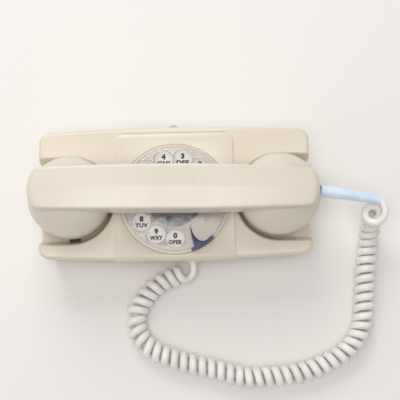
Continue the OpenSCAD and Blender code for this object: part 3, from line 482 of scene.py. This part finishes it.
# %% [markdown]
# ## The shell
#
# The shell is one moulding: walls that lean out as they rise, bowed long sides, a crisp front
# rim and a slightly softer back one. It could be sculpted from a grid, but it is really a box
# whose edges were given different radii, so it starts as a box: the upright corners are bevelled,
# the block is sliced into rings, and each ring is drawn in by what the lean and the rim's radius
# ask for.

# %% Sizes of the base
base_half, base_depth, base_bow, base_middle = 99.0, 98.0, 2.5, -2.0
dial_line, cup_offset, cup_radius, cup_floor = -7.0, 75.5, 32.0, 30.0
skirt, widest, rim, wall, lean = 2.6, 36.0, 44.0, 2.6, 4.0
corner, least_corner, front_round, back_round = 8.0, 3, 2.5, 3.0
rim_drops = (7, 6, 5, 4.1, 3.3, 2.5, 1.9, 1.4, 1, 0.68, 0.42, 0.22, 0.09, 0.02)
print("base, mm:", 2 * base_half, "x", base_depth, "x", rim)

# %% Box, slices and rings
def lean_at(z):
    """How far a wall stands in from its widest at height z."""
    return max(0, lean * (widest - z) / (widest - skirt))


def rounding(z, top, radius):
    """How far an edge of that radius has drawn in at height z."""
    return 0 if z <= top - radius else radius - math.sqrt(max(0, radius ** 2 - (z - top + radius) ** 2))


def cut_planes(bm, axis, places):
    """Slices a bmesh square to an axis, and keeps both sides."""
    way = Vector((0, 0, 0))
    way[axis] = 1
    for along in places:
        bmesh.ops.bisect_plane(bm, geom=bm.verts[:] + bm.edges[:] + bm.faces[:], plane_co=way * along,
                               plane_no=way)


def upright_edges(bm):
    """The edges of a block that join its bottom to its top."""
    return [e for e in bm.edges if abs(e.verts[0].co.z - e.verts[1].co.z) > 1]


def base_block(name, inset, low, top):
    """A draft of the whole base between two heights, all round inside the shell's outside by inset."""
    half_depth = base_depth / 2 - base_bow
    bm = bmesh.new()
    bmesh.ops.create_cube(bm, size=2)
    bmesh.ops.scale(bm, vec=(base_half, half_depth, (top - low) / 2), verts=bm.verts)
    bmesh.ops.translate(bm, vec=(0, 0, (top + low) / 2), verts=bm.verts)
    bmesh.ops.bevel(bm, geom=upright_edges(bm), offset=corner, segments=10, profile=0.5, affect="EDGES",
                    material=-1)
    cut_planes(bm, 0, range(-88, 89, 8))
    cut_planes(bm, 2, [widest] + [top - drop for drop in rim_drops])
    middle_x, middle_y = base_half - corner, half_depth - corner
    for v in bm.verts:
        x, y, z = v.co
        leaning = inset + lean_at(z)
        in_x = leaning + rounding(z, top, front_round)
        in_y = leaning + rounding(z, top, back_round if y > 0 else front_round)
        keep = corner - least_corner
        if abs(x) > middle_x:
            share = (abs(x) - middle_x) / corner
            x = math.copysign(middle_x - max(0, in_x - keep) + share * (corner - min(in_x, keep)), x)
        if abs(y) > middle_y:
            share = (abs(y) - middle_y) / corner
            y = math.copysign(middle_y - max(0, in_y - keep) + share * (corner - min(in_y, keep)), y)
            y += math.copysign(base_bow * (1 - min(1, abs(x) / middle_x) ** 2), y)
        v.co = x, y + base_middle, z
    return draft(name, bm)


shell = base_block("shell", 0, skirt, rim)
print("block:", len(shell.data.polygons), "faces")

# %% [markdown]
# The two cups are round wells that open to the ends of the base. They could be scooped out of the
# block's own faces, but it is easier to model their space and cut it out: half a turn of the
# well's profile by spin, and its open side drawn out past the end by extruding the two profile
# lines. The profile has a small fillet at the floor and a flare at the rim, so the cut leaves
# rounded edges.

# %% Cup spaces
cup_narrowing, past_end, above_rim = 4, 40, 9


def move_new(bm, drawn, way):
    """Moves the points that an extrusion has just made."""
    bmesh.ops.translate(bm, vec=way, verts=[g for g in drawn["geom"] if isinstance(g, bmesh.types.BMVert)])


def cup_space(side, grow, low):
    """The space of the cup on one side, wider by grow, down to a floor at low."""
    outer, floor_r = cup_radius + grow, cup_radius - cup_narrowing + grow
    fillet = [(floor_r - 1.6, low), (floor_r - 0.7, low + 0.25), (floor_r + 0.15, low + 0.9)]
    flare = [(outer - 0.75, rim - 2.4), (outer - 0.35, rim - 1.2), (outer + 0.15, rim - 0.45),
             (outer + 0.85, rim - 0.06), (outer + 1.2, rim + 0.02)]
    profile = [(0, low)] + fillet + flare + [(outer + 1.2, rim + above_rim), (0, rim + above_rim)]
    bm = bmesh.new()
    line = [bm.verts.new((0, -side * r, z)) for r, z in profile]
    edges = [bm.edges.new(pair) for pair in zip(line, line[1:])]
    made = bmesh.ops.spin(bm, geom=line + edges, cent=(0, 0, 0), axis=(0, 0, 1), angle=-math.pi, steps=72,
                          dvec=(0, 0, 0), use_merge=False)
    last = [g for g in made["geom_last"] if isinstance(g, bmesh.types.BMEdge)]
    for group in (edges, last):
        move_new(bm, bmesh.ops.extrude_edge_only(bm, edges=group), (side * past_end, 0, 0))
    bmesh.ops.remove_doubles(bm, verts=bm.verts, dist=1e-4)
    bmesh.ops.holes_fill(bm, edges=[e for e in bm.edges if e.is_boundary], sides=0)
    bmesh.ops.translate(bm, vec=(side * cup_offset, dial_line, 0), verts=bm.verts)
    return draft(f"cup_space_{side}", bm)


def rod(name, spot, radius, low, high, sides):
    """A round draft, upright at a spot."""
    bm = bmesh.new()
    bmesh.ops.create_cone(bm, cap_ends=True, segments=sides, radius1=radius, radius2=radius, depth=high - low)
    bmesh.ops.translate(bm, vec=(*spot, (low + high) / 2), verts=bm.verts)
    return draft(name, bm)


def brick(name, low, high):
    """A square draft between two corners."""
    bm = bmesh.new()
    bmesh.ops.create_cube(bm, size=1)
    bmesh.ops.scale(bm, vec=[b - a for a, b in zip(low, high)], verts=bm.verts)
    bmesh.ops.translate(bm, vec=[(a + b) / 2 for a, b in zip(low, high)], verts=bm.verts)
    return draft(name, bm)


hollow = base_block("hollow", wall, skirt - 1, rim - wall)
combine(hollow, [cup_space(side, wall, cup_floor - wall) for side in (-1, 1)])
combine(shell, [hollow, cup_space(-1, 0, cup_floor), cup_space(1, 0, cup_floor)])
print("hollow shell with cups:", len(shell.data.polygons), "faces")

# %% [markdown]
# ## The centre panel
#
# A separate moulding wraps over the middle of the shell: down the front, over the top and round
# at its back corners. It carries the dial in a round well. Its cross-section is one line, so the
# panel is that line extruded sideways. A plan-shaped block trims its corners, and the same shape,
# a little wider, is cut from the shell as its seat.

# %% The panel's cross-section
panel_top, panel_wall, panel_wide, panel_rear, panel_stand = 45.6, 2.4, 86.0, 42.5, 0.6
panel_foot, panel_turn, panel_edge, panel_corner = 3.6, 36.0, 4, 7


def front_wall(z):
    """Where the shell's front stands at height z, at its middle."""
    return base_middle - base_depth / 2 + lean_at(z)


def panel_line(depth):
    """The panel's cross-section seen from the side, drawn in by depth: (y, z) points from the
    front's foot, round the front edge, to the back."""
    low, top_y = [front_wall(z) - panel_stand + depth for z in (panel_foot, panel_turn)]
    top, turn = panel_top - depth, max(0.8, panel_edge - depth)
    arc = [(top_y + turn - turn * math.cos(a), top - turn + turn * math.sin(a))
           for a in [math.radians(9 * k) for k in range(11)]]
    return [(low, panel_foot), (top_y, panel_turn)] + arc + [(panel_rear - 3, top)]


def slab(name, line, half_width):
    """A closed cross-section of (y, z) points, extruded sideways."""
    bm = bmesh.new()
    face = bm.faces.new([bm.verts.new((-half_width, y, z)) for y, z in line])
    move_new(bm, bmesh.ops.extrude_face_region(bm, geom=[face]), (2 * half_width, 0, 0))
    return draft(name, bm)


def plan_block(name, half_width, rear):
    """Trims a slab to the panel's plan: straight at the front, round at the two back corners."""
    half_depth, half_height, middle_height = 60, 45, 40
    bm = bmesh.new()
    bmesh.ops.create_cube(bm, size=2)
    bmesh.ops.scale(bm, vec=(half_width, half_depth, half_height), verts=bm.verts)
    bmesh.ops.translate(bm, vec=(0, rear - half_depth, middle_height), verts=bm.verts)
    back_edges = [e for e in upright_edges(bm) if all(v.co.y > 0 for v in e.verts)]
    bmesh.ops.bevel(bm, geom=back_edges, offset=panel_corner, segments=8, profile=0.5, affect="EDGES",
                    material=-1)
    return draft(name, bm)


print("panel's front edge turns at a radius of", panel_edge, "mm")

# %% Panel and its seat
well_radius, seat_gap, outside, over_top = 40.6, 0.1, -80, 70
cut_low, cut_high = 30, 60

inner_line = panel_line(panel_wall)
back_edge = [(panel_rear - 1.4, panel_top - 0.3), (panel_rear - 0.4, panel_top - 0.9),
             (panel_rear, rim - 0.1), (panel_rear, panel_top - panel_wall)]
panel = slab("centre_panel", panel_line(0) + back_edge + inner_line[::-1], panel_wide / 2)
combine(panel, [plan_block("panel_plan", panel_wide / 2, panel_rear)], "INTERSECT")
combine(panel, [rod("well", (0, dial_line), well_radius, cut_low, cut_high, 128)])
soften(panel, 0.55, 3, 50)

seat_half, seat_rear = panel_wide / 2 + seat_gap, panel_rear + seat_gap
seat_outline = [(outside, panel_foot)] + inner_line + [(seat_rear, panel_top - panel_wall),
                                                       (seat_rear, over_top), (outside, over_top)]
seat = slab("panel_seat", seat_outline, seat_half)
combine(seat, [plan_block("seat_plan", seat_half, seat_rear)], "INTERSECT")
combine(shell, [seat])
print("panel:", len(panel.data.polygons), "faces; shell:", len(shell.data.polygons), "faces")

# %% [markdown]
# Five things pass through the shell: the dial in its middle, the hook lever in the left cup, the
# loudness tab and the line socket at the back, and the cord at the front, where it also passes
# the panel. In the real mould these are steel pins and blocks, and here they are rods and bricks
# that are cut out. They are cut last, so that no bevel eats into the clearance around what they
# let through. The cord's hole stands square to the leaning front wall.

# %% Openings of the shell: dial, hook, loudness tab, line socket, cord
dial_opening, cord_hole_radius, cord_hole_x, cord_hole_z = 37, 4.7, 12, 10.5
wall_slope = math.atan(lean / (widest - skirt))


def cord_hole(name):
    """A rod through the front wall, square to it, where the cord goes in."""
    bm = bmesh.new()
    bmesh.ops.create_cone(bm, cap_ends=True, segments=48, radius1=cord_hole_radius, radius2=cord_hole_radius,
                          depth=20)
    turn = Matrix.Rotation(math.pi / 2 + wall_slope, 4, "X")
    spot = Matrix.Translation((cord_hole_x, front_wall(cord_hole_z) - panel_stand, cord_hole_z))
    bmesh.ops.transform(bm, matrix=spot @ turn, verts=bm.verts)
    return draft(name, bm)


combine(shell, [rod("dial_opening", (0, dial_line), dial_opening, cut_low, cut_high, 96),
                brick("hook_slot", (-78.1, -37.0, 22), (-69.9, -32.0, 34)),
                brick("tab_slot", (-6.85, 38, 28.1), (6.85, 50, 32.1)),
                brick("socket_window", (-27.1, 32, 5.1), (-12.9, 52, 17.3)),
                cord_hole("shell_cord_hole")])
combine(panel, [cord_hole("panel_cord_hole")])
place(shell, "base", shell_abs, ["housing"])
place(panel, "base", shell_abs, ["dial_panel"])

# %% [markdown]
# ## The handset
#
# One moulding again: a bar with a low roof runs into two round heads, and the joint between them
# is a soft fillet that no simple bevel can make, because it runs out to nothing. So the bar and
# the heads are modelled plainly, joined, and remeshed with 0.8 mm voxels; a few rounds of
# smoothing then melt the joint, as the mould maker's stone does. The hollow heads are cut out
# afterwards, so that their edges stay crisp. The bar starts as a sliced box. It narrows and falls
# towards its ends, which are drawn in to a shallow arc, and it stands a degree askew, as it was
# put down.

# %% Sizes of the handset
head_radius, head_foot, head_widest, head_dome, head_crown = 29.5, 37.0, 52.0, 23, 75
bar_crown, bar_under, bar_half, hand_line = 84.0, 62.0, 15.9, -6.0
bar_tilt, bar_shift, bar_height, bar_middle = math.radians(-1.0), 1.7, 32, 68
left_narrowing, right_narrowing, crown_fall = 1.0, 2.1, 3.6
crease, roof_pitch, edge_drop, arch_end, arch_run = 15.3, 1.2, 2.4, 60, 13
end_start, end_long, end_narrowing, end_setback, end_reach, end_half = 88, 15.4, 2.2, 4.8, 14.4, 14.5
tip_start, tip_long, tip_drop, tip_lean, lean_from, lean_over = 97, 6.4, 2.6, 2.6, 58, 22
print("handset, mm:", 2 * (cup_offset + head_radius), "long,", bar_crown, "high as it lies")

# %% The bar, drawn from a sliced box
def bar_point(x, y, z):
    """Where a point of the box comes to lie on the bar."""
    narrowing = left_narrowing if x < 0 else right_narrowing
    half = bar_half - narrowing * (max(-end_start, min(x, end_start)) / end_start) ** 2
    if abs(x) > end_start:
        half -= end_narrowing * ((abs(x) - end_start) / end_long) ** 2
    tip = max(0, abs(x) - tip_start) / tip_long
    if z > bar_middle + bar_height / 2 - 1:
        fall = crown_fall * (min(abs(x), tip_start) / end_start) ** 2
        slope = edge_drop if abs(y) > crease + 0.2 else roof_pitch * abs(y) / crease
        z = bar_crown - slope - fall - tip_drop * tip ** 2
    elif z < bar_middle - bar_height / 2 + 1:
        z = head_widest + (bar_under - head_widest) * min(1, max(0, (arch_end - abs(x)) / arch_run)) ** 0.6
    x = math.copysign(abs(x) - tip_lean * tip * max(0, z - lean_from) / lean_over, x)
    y *= half / bar_half
    if abs(x) > end_start:
        drawn_in = 1 - end_setback / end_reach * (y / end_half) ** 2
        x = math.copysign(end_start + (abs(x) - end_start) * drawn_in, x)
    return (x * math.cos(bar_tilt) - y * math.sin(bar_tilt),
            x * math.sin(bar_tilt) + y * math.cos(bar_tilt) + hand_line + bar_shift, z)


bm = bmesh.new()
bmesh.ops.create_cube(bm, size=2)
bmesh.ops.scale(bm, vec=(cup_offset + head_radius - 1.6, bar_half, bar_height / 2), verts=bm.verts)
bmesh.ops.translate(bm, vec=(0, 0, bar_middle), verts=bm.verts)
cut_planes(bm, 0, list(range(-96, 97, 4)) + [side * x for side in (-1, 1) for x in (98.5, 100, 101, 102)])
cut_planes(bm, 1, [-crease, -13, -10, -5, 0, 5, 10, 13, crease])
cut_planes(bm, 2, [76, 72, 66])
for v in bm.verts:
    v.co = bar_point(*v.co)
handset = draft("handset", bm)
print("bar:", len(handset.data.polygons), "faces")

# %% Heads, joined and melted together
def turned(name, spot, profile, steps):
    """A round draft from a profile of (radius, height) points, by spin."""
    bm = bmesh.new()
    line = [bm.verts.new((r, 0, z)) for r, z in profile]
    edges = [bm.edges.new(pair) for pair in zip(line, line[1:])]
    bmesh.ops.spin(bm, geom=line + edges, cent=(0, 0, 0), axis=(0, 0, 1), angle=2 * math.pi, steps=steps,
                   dvec=(0, 0, 0), use_merge=True)
    bmesh.ops.remove_doubles(bm, verts=bm.verts, dist=1e-4)
    bmesh.ops.translate(bm, vec=(*spot, 0), verts=bm.verts)
    return draft(name, bm)


def melt_joints(bm):
    """Smooths all but the feet of the heads, then clears away the slivers that this leaves."""
    for _ in range(4):
        bmesh.ops.smooth_vert(bm, verts=[v for v in bm.verts if v.co.z > head_foot + 2], factor=0.5,
                              use_axis_x=True, use_axis_y=True, use_axis_z=True)
    bmesh.ops.dissolve_degenerate(bm, dist=0.05, edges=bm.edges)
    bmesh.ops.triangulate(bm, faces=bm.faces)


dome = [(head_radius * math.cos(a), head_widest + head_dome * math.sin(a))
        for a in [math.radians(t) for t in range(0, 90, 6)]]
foot = [(0, head_foot), (head_radius - 1.0, head_foot), (head_radius - 0.3, head_foot + 5)]
combine(handset, [turned(f"head_{side}", (side * cup_offset, hand_line + 0.2 - 0.2 * side),
                         foot + dome + [(0, head_crown)], 96) for side in (-1, 1)], "UNION")

step = handset.modifiers.new("remesh", "REMESH")
step.mode, step.voxel_size, step.use_smooth_shade = "VOXEL", 0.8, True
settle(handset)
rework(handset.data, melt_joints)
print("handset skin:", len(handset.data.polygons), "triangles")

# %% [markdown]
# The heads are hollow: each takes a capsule, its contacts and a cap from below. At the right end
# a stepped pocket lets the cord's relief out and holds its clamp. It is turned about the relief's
# own axis, which leans a little down and outwards.

# %% Hollow the heads and put the handset on its body
cavity_radius, cavity_low, cavity_top, cavity_slope = 26, 36, 52, 3
clamp_radius, relief_hole, pocket_step, pocket_deep = 7, 4.7, 4, 12
cavity = [(0, cavity_low), (cavity_radius, cavity_low), (cavity_radius, cavity_top - cavity_slope),
          (cavity_radius - cavity_slope, cavity_top), (0, cavity_top)]
pocket = [(0, -pocket_deep), (clamp_radius, -pocket_deep), (clamp_radius, -pocket_step),
          (relief_hole, -pocket_step), (relief_hole, pocket_step), (0, pocket_step)]


def heal_cuts(bm):
    """Merges the slivers that the cuts leave along their edges."""
    bmesh.ops.remove_doubles(bm, verts=bm.verts, dist=0.03)
    bmesh.ops.triangulate(bm, faces=bm.faces)


combine(handset, [turned(f"cavity_{side}", (side * cup_offset, hand_line), cavity, 72) for side in (-1, 1)])
clamp_pocket = turned("clamp_pocket", (0, 0), pocket, 48)
relief_turn = Matrix.Rotation(math.radians(-10), 4, "Z") @ Matrix.Rotation(math.radians(95), 4, "Y")
clamp_pocket.data.transform(Matrix.Translation(cord_exit / MM) @ relief_turn)
combine(handset, [clamp_pocket])
rework(handset.data, heal_cuts)
place(handset, "handset", handset_abs, ["handset_shell"], angle=75)

# %% [markdown]
# ## The finger wheel
#
# A clear acrylic disc with ten finger holes, pressed or cut from sheet and flame-polished. The
# holes could be bridged into the disc one by one, but cutting them all with one boolean is
# quicker, and a bevel then rounds every edge, which is what catches the light on a clear part.
# Fingers have scuffed it in streaks, so its gloss wanders a little. The wheel turns, so it rides
# on the dial and not on the base.

# %% Clear wheel with ten holes
wheel_low, wheel_high, wheel_radius = 47.0, 49.4, 38.1
hole_ring, hole_radius, first_hole, hole_spacing, arbor_radius = 29.5, 6.8, 22.5, 27.5, 2
hole_angles = [math.radians(first_hole + hole_spacing * k) for k in range(10)]
hole_spots = [(hole_ring * math.cos(a), dial_line + hole_ring * math.sin(a)) for a in hole_angles]

wheel = rod("finger_wheel_clear", (0, dial_line), wheel_radius, wheel_low, wheel_high, 160)
combine(wheel, [rod(f"finger_hole_{k}", spot, hole_radius, 40, 60, 56) for k, spot in enumerate(hole_spots)]
        + [rod("arbor_hole", (0, dial_line), arbor_radius, 40, 60, 32)])
soften(wheel, 0.45, 3, 50)
acrylic, acrylic_tree, acrylic_shader = material("flame-polished acrylic", IOR=1.49, Transmission_Weight=0.9,
                                                 Roughness=0.06)
acrylic_shader.inputs["Base Color"].default_value = linear("F7F0EC")
scuffs = grain(acrylic_tree, 9, 2.0, (1, 0.4, 1))
scuff_rough = add(acrylic_tree, "ShaderNodeMapRange",
                  {"From Min": 0.45, "From Max": 0.75, "To Min": 0.06, "To Max": 0.14},
                  {"Value": scuffs.outputs[0]})
acrylic_tree.links.new(scuff_rough.outputs[0], acrylic_shader.inputs["Roughness"])
place(wheel, "dial", acrylic, ["finger_wheel"])

# %% [markdown]
# ## Numbers and letters
#
# The number plate is white moulded plastic, and its figures are printed: a thin film of black
# ink. They could be an image laid on the plate, but outlines stay sharp at any distance. Text
# objects are outlines with a font; each one is turned into a mesh, fitted to the size that the
# print has, and laid on the plate, a number above its letters under each finger hole. All of them
# are one piece, a single pass of ink.

# %% Print the figures
printing = [("1", ""), ("2", "ABC"), ("3", "DEF"), ("4", "GHI"), ("5", "JKL"), ("6", "MNO"), ("7", "PRS"),
            ("8", "TUV"), ("9", "WXY"), ("0", "OPER")]
plate_top, ink, lift = 45.8, 0.03, 0.005
number_tall, number_weight, number_up = 4.2, 0.07, 2.5
letter_tall, letter_weight, letter_down, three_wide, four_wide = 3.2, 0.06, 2.2, 9.2, 9.6


def fitted_text(text, spot, wide, tall, weight):
    """A flat bold text as a mesh, scaled about a spot to a height and, where one is given, a width."""
    shape = bpy.data.curves.new("figure", "FONT")
    shape.body, shape.size, shape.offset, shape.extrude = text, 1.0, weight, 0.01
    shape.space_character, shape.resolution_u = 1.12, 4
    mesh = mesh_of(shape)
    points = np.array([v.co for v in mesh.vertices])
    low, high = points.min(0), points.max(0)
    natural = tall / (high[1] - low[1]) * (high[0] - low[0])
    size = Vector((wide or natural, tall, ink))
    fit = Matrix.Diagonal([s / (b - a) for s, a, b in zip(size, low, high)]).to_4x4()
    mesh.transform(Matrix.Translation((*spot, plate_top + ink / 2 + lift)) @ fit
                   @ Matrix.Translation([-(a + b) / 2 for a, b in zip(low, high)]))
    return mesh


bm = bmesh.new()
for (figure, letters), (x, y) in zip(printing, hole_spots):
    bm.from_mesh(fitted_text(figure, (x, y + number_up), None, number_tall, number_weight))
    if letters:
        wide = four_wide if len(letters) > 3 else three_wide
        bm.from_mesh(fitted_text(letters, (x, y - letter_down), wide, letter_tall, letter_weight))
print("figures:", len(bm.faces), "faces")
figures = draft("dial_figures", bm)
black_ink, ink_tree, ink_shader = material("screen-printed black ink", IOR=1.5, Roughness=0.42)
ink_tint = add(ink_tree, "ShaderNodeValToRGB", links={"Fac": grain(ink_tree, 0.6, 2.0).outputs[0]})
for stop, shade in zip(ink_tint.color_ramp.elements, ("141416", "242427")):
    stop.color = linear(shade)
ink_tree.links.new(ink_tint.outputs[0], ink_shader.inputs["Base Color"])
place(figures, "base", black_ink, angle=60)

# %% [markdown]
# ## The finger stop
#
# A steel blade stands beside the wheel and curls in over it, so that the finger is caught at the
# end of its pull. It is stamped and blued: dark, with a cold sheen. A bevelled box could be bent
# into it, but its two sides curve differently, so the blade is drawn as one face between them and
# extruded. Its foot is a short arc beside the wheel, by spin. Both are laid out round the dial's
# middle, as distances from it and angles in degrees.

# %% Blade
stop_top, stop_thick, blade_root = 51.3, 1.2, 2.1
inward = [13.5, 10.5, 7.5, 4.5, 1.8, -0.4]
left_side, right_side = [-64.3, -66, -67.3, -68.3, -69, -68.8], [-62.5, -63.9, -64.2, -63.2, -60.9, -56.2]
root_angles = [-68.8, -64.6, -60.4, -56.2]


def round_dial(bm, radius, angle, height, middle=dial_line):
    """A point at a distance and an angle from the dial's middle."""
    angle = math.radians(angle)
    return bm.verts.new((radius * math.cos(angle), middle + radius * math.sin(angle), height))


sides = [(wheel_radius - d, a) for d, a in list(zip(inward, right_side))[::-1] + list(zip(inward, left_side))]
sides += [(wheel_radius + blade_root, a) for a in root_angles]
bm = bmesh.new()
blade_face = bm.faces.new([round_dial(bm, r, a, stop_top - stop_thick) for r, a in sides])
move_new(bm, bmesh.ops.extrude_face_region(bm, geom=[blade_face]), (0, 0, stop_thick))
blade = draft("finger_stop_blade", bm)
print("blade:", len(blade.data.polygons), "faces")

# %% Foot of the stop
foot_low, foot_in, foot_out, foot_start, foot_turn = 45.81, 38.46, 40.6, -73, 26
bm = bmesh.new()
square = [round_dial(bm, r, foot_start, z, 0)
          for r, z in ((foot_in, foot_low), (foot_out, foot_low), (foot_out, stop_top), (foot_in, stop_top))]
face = bm.faces.new(square)
bmesh.ops.spin(bm, geom=[face] + list(face.edges) + square, cent=(0, 0, 0), axis=(0, 0, 1),
               angle=math.radians(foot_turn), steps=18, dvec=(0, 0, 0), use_merge=False)
bmesh.ops.translate(bm, vec=(0, dial_line, 0), verts=bm.verts)
bmesh.ops.remove_doubles(bm, verts=bm.verts, dist=1e-4)
combine(blade, [draft("stop_foot", bm)], "UNION")
soften(blade, 0.25, 2, 40)
print("blade and foot:", len(blade.data.polygons), "faces")

# %% [markdown]
# ## Metals
#
# The telephone holds steel, brass and aluminium, most of them out of sight. Each is named for how
# it was made: zinc-plated, stamped, ground and blued steel, machined and spun brass, drawn
# aluminium. Metal colour sits in the base colour, and what tells them apart is how rough they are
# and which way the marks run, so one function takes a colour, a roughness and the size and
# stretch of the marks. Marks finer than 0.3 mm are drawn at 0.3 mm so that they show.

# %% Worked metals
def worked_metal(name, bright, dull, shine, mark_mm, stretch=(1, 1, 1), strength=0.08):
    """A metal whose tool marks are mark_mm across, drawn out where the stretch is small."""
    made, tree, shader = material(name, Metallic=1.0)
    marks, patches = grain(tree, mark_mm, 3.0, stretch), grain(tree, 12, 2.0)
    weather(tree, shader, (patches, 0.3, dull, 0.7, bright), (marks, 0, 1, shine, shine + 0.2),
            (marks, strength, 0.05))
    return made


zinc_steel = worked_metal("zinc-plated steel", "C9CDD2", "A9AEB6", 0.24, 0.6)
stamped_steel = worked_metal("stamped dial steel", "A0A5B4", "7D8291", 0.28, 0.35, (1, 0.12, 1), 0.12)
ground_steel = worked_metal("ground shaft steel", "D2D4D8", "BEC1C6", 0.14, 0.3, (1, 1, 0.05))
blued_steel = worked_metal("blued spring steel", "4E5568", "3A4050", 0.3, 0.5, (1, 0.3, 1))
machined_brass = worked_metal("machined brass", "D9B566", "B58E43", 0.2, 0.3, (1, 1, 0.1))
bell_brass = worked_metal("spun bell brass", "D2B070", "B08C4A", 0.16, 0.5)
drawn_aluminium = worked_metal("drawn aluminium", "C6C8CB", "ADB0B4", 0.3, 0.4, (1, 1, 0.2))
place(blade, "base", blued_steel, ["finger_stop"])

# %% [markdown]
# ## Coated and moulded materials of the inner parts
#
# Paint, rubber, phenolic resin, laminate, the plate's white plastic, nylon, frosted polycarbonate
# and the enamel on the coil's wire are all dielectrics: a colour, a gloss and a texture at its own
# scale. They differ from the cream ABS mainly in grain, so one function serves them, and what is
# varied is the grain's size in millimetres and how strongly it shows.

# %% Coated and moulded surfaces
def moulded(name, light, dark, shine, grain_mm, depth=0.1, **sockets):
    """A coated or moulded surface whose grain is grain_mm across and stands out by depth."""
    made, tree, shader = material(name, IOR=1.5, **sockets)
    lumps, patches = grain(tree, grain_mm, 3.0), grain(tree, 15, 2.0)
    weather(tree, shader, (patches, 0.3, dark, 0.7, light), (lumps, 0, 1, shine, min(1.0, shine + 0.18)),
            (lumps, depth, 0.08))
    return made


painted_steel = moulded("dark painted steel", "46474B", "37383C", 0.35, 0.8)
foot_rubber = moulded("black foot rubber", "2C2C2D", "1F1F20", 0.7, 0.5, 0.2)
phenolic = moulded("black phenolic resin", "262627", "19191A", 0.28, 1.0)
laminate = moulded("brown paper laminate", "6E4A2E", "573822", 0.5, 0.7, 0.15)
plate_white = moulded("white number plate plastic", "F4F2EF", "ECE9E4", 0.22, 0.6, 0.04)
nylon_white = moulded("white nylon", "EFEDE6", "E4E1D7", 0.4, 0.6,
                      Subsurface_Weight=0.15, Subsurface_Scale=0.002)
frosted_tab = moulded("frosted polycarbonate", "C9CCD3", "AEB3BD", 0.4, 0.4, 0.2, Transmission_Weight=0.15)
coil_wire = moulded("enamelled copper winding", "8A3F22", "6B2C16", 0.3, 0.3, 0.3)

# %% [markdown]
# ## Surfaces for the solids that stay
#
# Every other solid keeps its shape, because its shape is right, and takes one of these surfaces.
# The number plate takes two colours: its middle is white and its rim is the shell's cream. It
# could be split into two pieces, but the change adds no shape, so the material changes its colour
# by the distance from the dial's middle.

# %% The plate's rim is the shell's cream, its middle white
paint_inner, paint_outer = 37.2, 37.8
plate_tree = plate_white.node_tree
spot = add(plate_tree, "ShaderNodeTexCoord")
from_middle = add(plate_tree, "ShaderNodeVectorMath", {1: (0, -dial_line * MM, 0)},
                  {0: spot.outputs["Object"]})
flat = add(plate_tree, "ShaderNodeVectorMath", {1: (1, 1, 0)}, {0: from_middle.outputs[0]},
           operation="MULTIPLY")
distance = add(plate_tree, "ShaderNodeVectorMath", links={0: flat.outputs[0]}, operation="LENGTH")
rim_share = add(plate_tree, "ShaderNodeMapRange",
                {"From Min": paint_inner * MM, "From Max": paint_outer * MM},
                {"Value": distance.outputs["Value"]})
plate_shader = plate_tree.nodes["Principled BSDF"]
white_tint = plate_shader.inputs["Base Color"].links[0].from_socket
two_tone = add(plate_tree, "ShaderNodeMix", {"B": linear("E0D6C5")},
               {"Factor": rim_share.outputs[0], "A": white_tint}, data_type="RGBA")
plate_tree.links.new(two_tone.outputs["Result"], plate_shader.inputs["Base Color"])
print("number plate: white to", (paint_inner + paint_outer) / 2, "mm from its middle, cream outside")

# %% Assign the surfaces
surfaces = {
    foot_rubber: ["feet"],
    painted_steel: ["base_plate"],
    zinc_steel: ["base_screws", "panel_screws", "frame_screws", "wheel_screw", "hook_bracket",
                 "ringer_frame", "gong_post", "gong_screw", "loudness_pin", "cord_clamp", "hook_pin",
                 "ringer_pin", "clapper"],
    stamped_steel: ["dial_frame", "movement_plate", "governor_drum", "pulse_springs"],
    ground_steel: ["main_shaft", "pulse_shaft", "governor_shaft"],
    blued_steel: ["main_gear", "main_spring", "hook_spring"],
    machined_brass: ["pulse_wheel", "movement_pillars", "governor_weights", "network_screws",
                     "receiver_terminals", "transmitter_contacts"],
    bell_brass: ["gong"],
    drawn_aluminium: ["receiver", "transmitter"],
    phenolic: ["hook_lever", "network_block", "line_jack", "transmitter_cup"],
    laminate: ["spring_block", "hook_contacts"],
    plate_white: ["number_plate"],
    nylon_white: ["cord_grommet"],
    frosted_tab: ["loudness_lever"],
    coil_wire: ["ringer_coil"],
    handset_abs: ["ear_cap", "mouth_cap"],
}
for surface, names in surfaces.items():
    for name in names:
        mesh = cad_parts[name].data
        mesh.materials.clear()
        mesh.materials.append(surface)
dressed = [n for names in surfaces.values() for n in names]
print("surfaced:", len(dressed), "solids; left:", sorted(set(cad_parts) - set(dressed)))
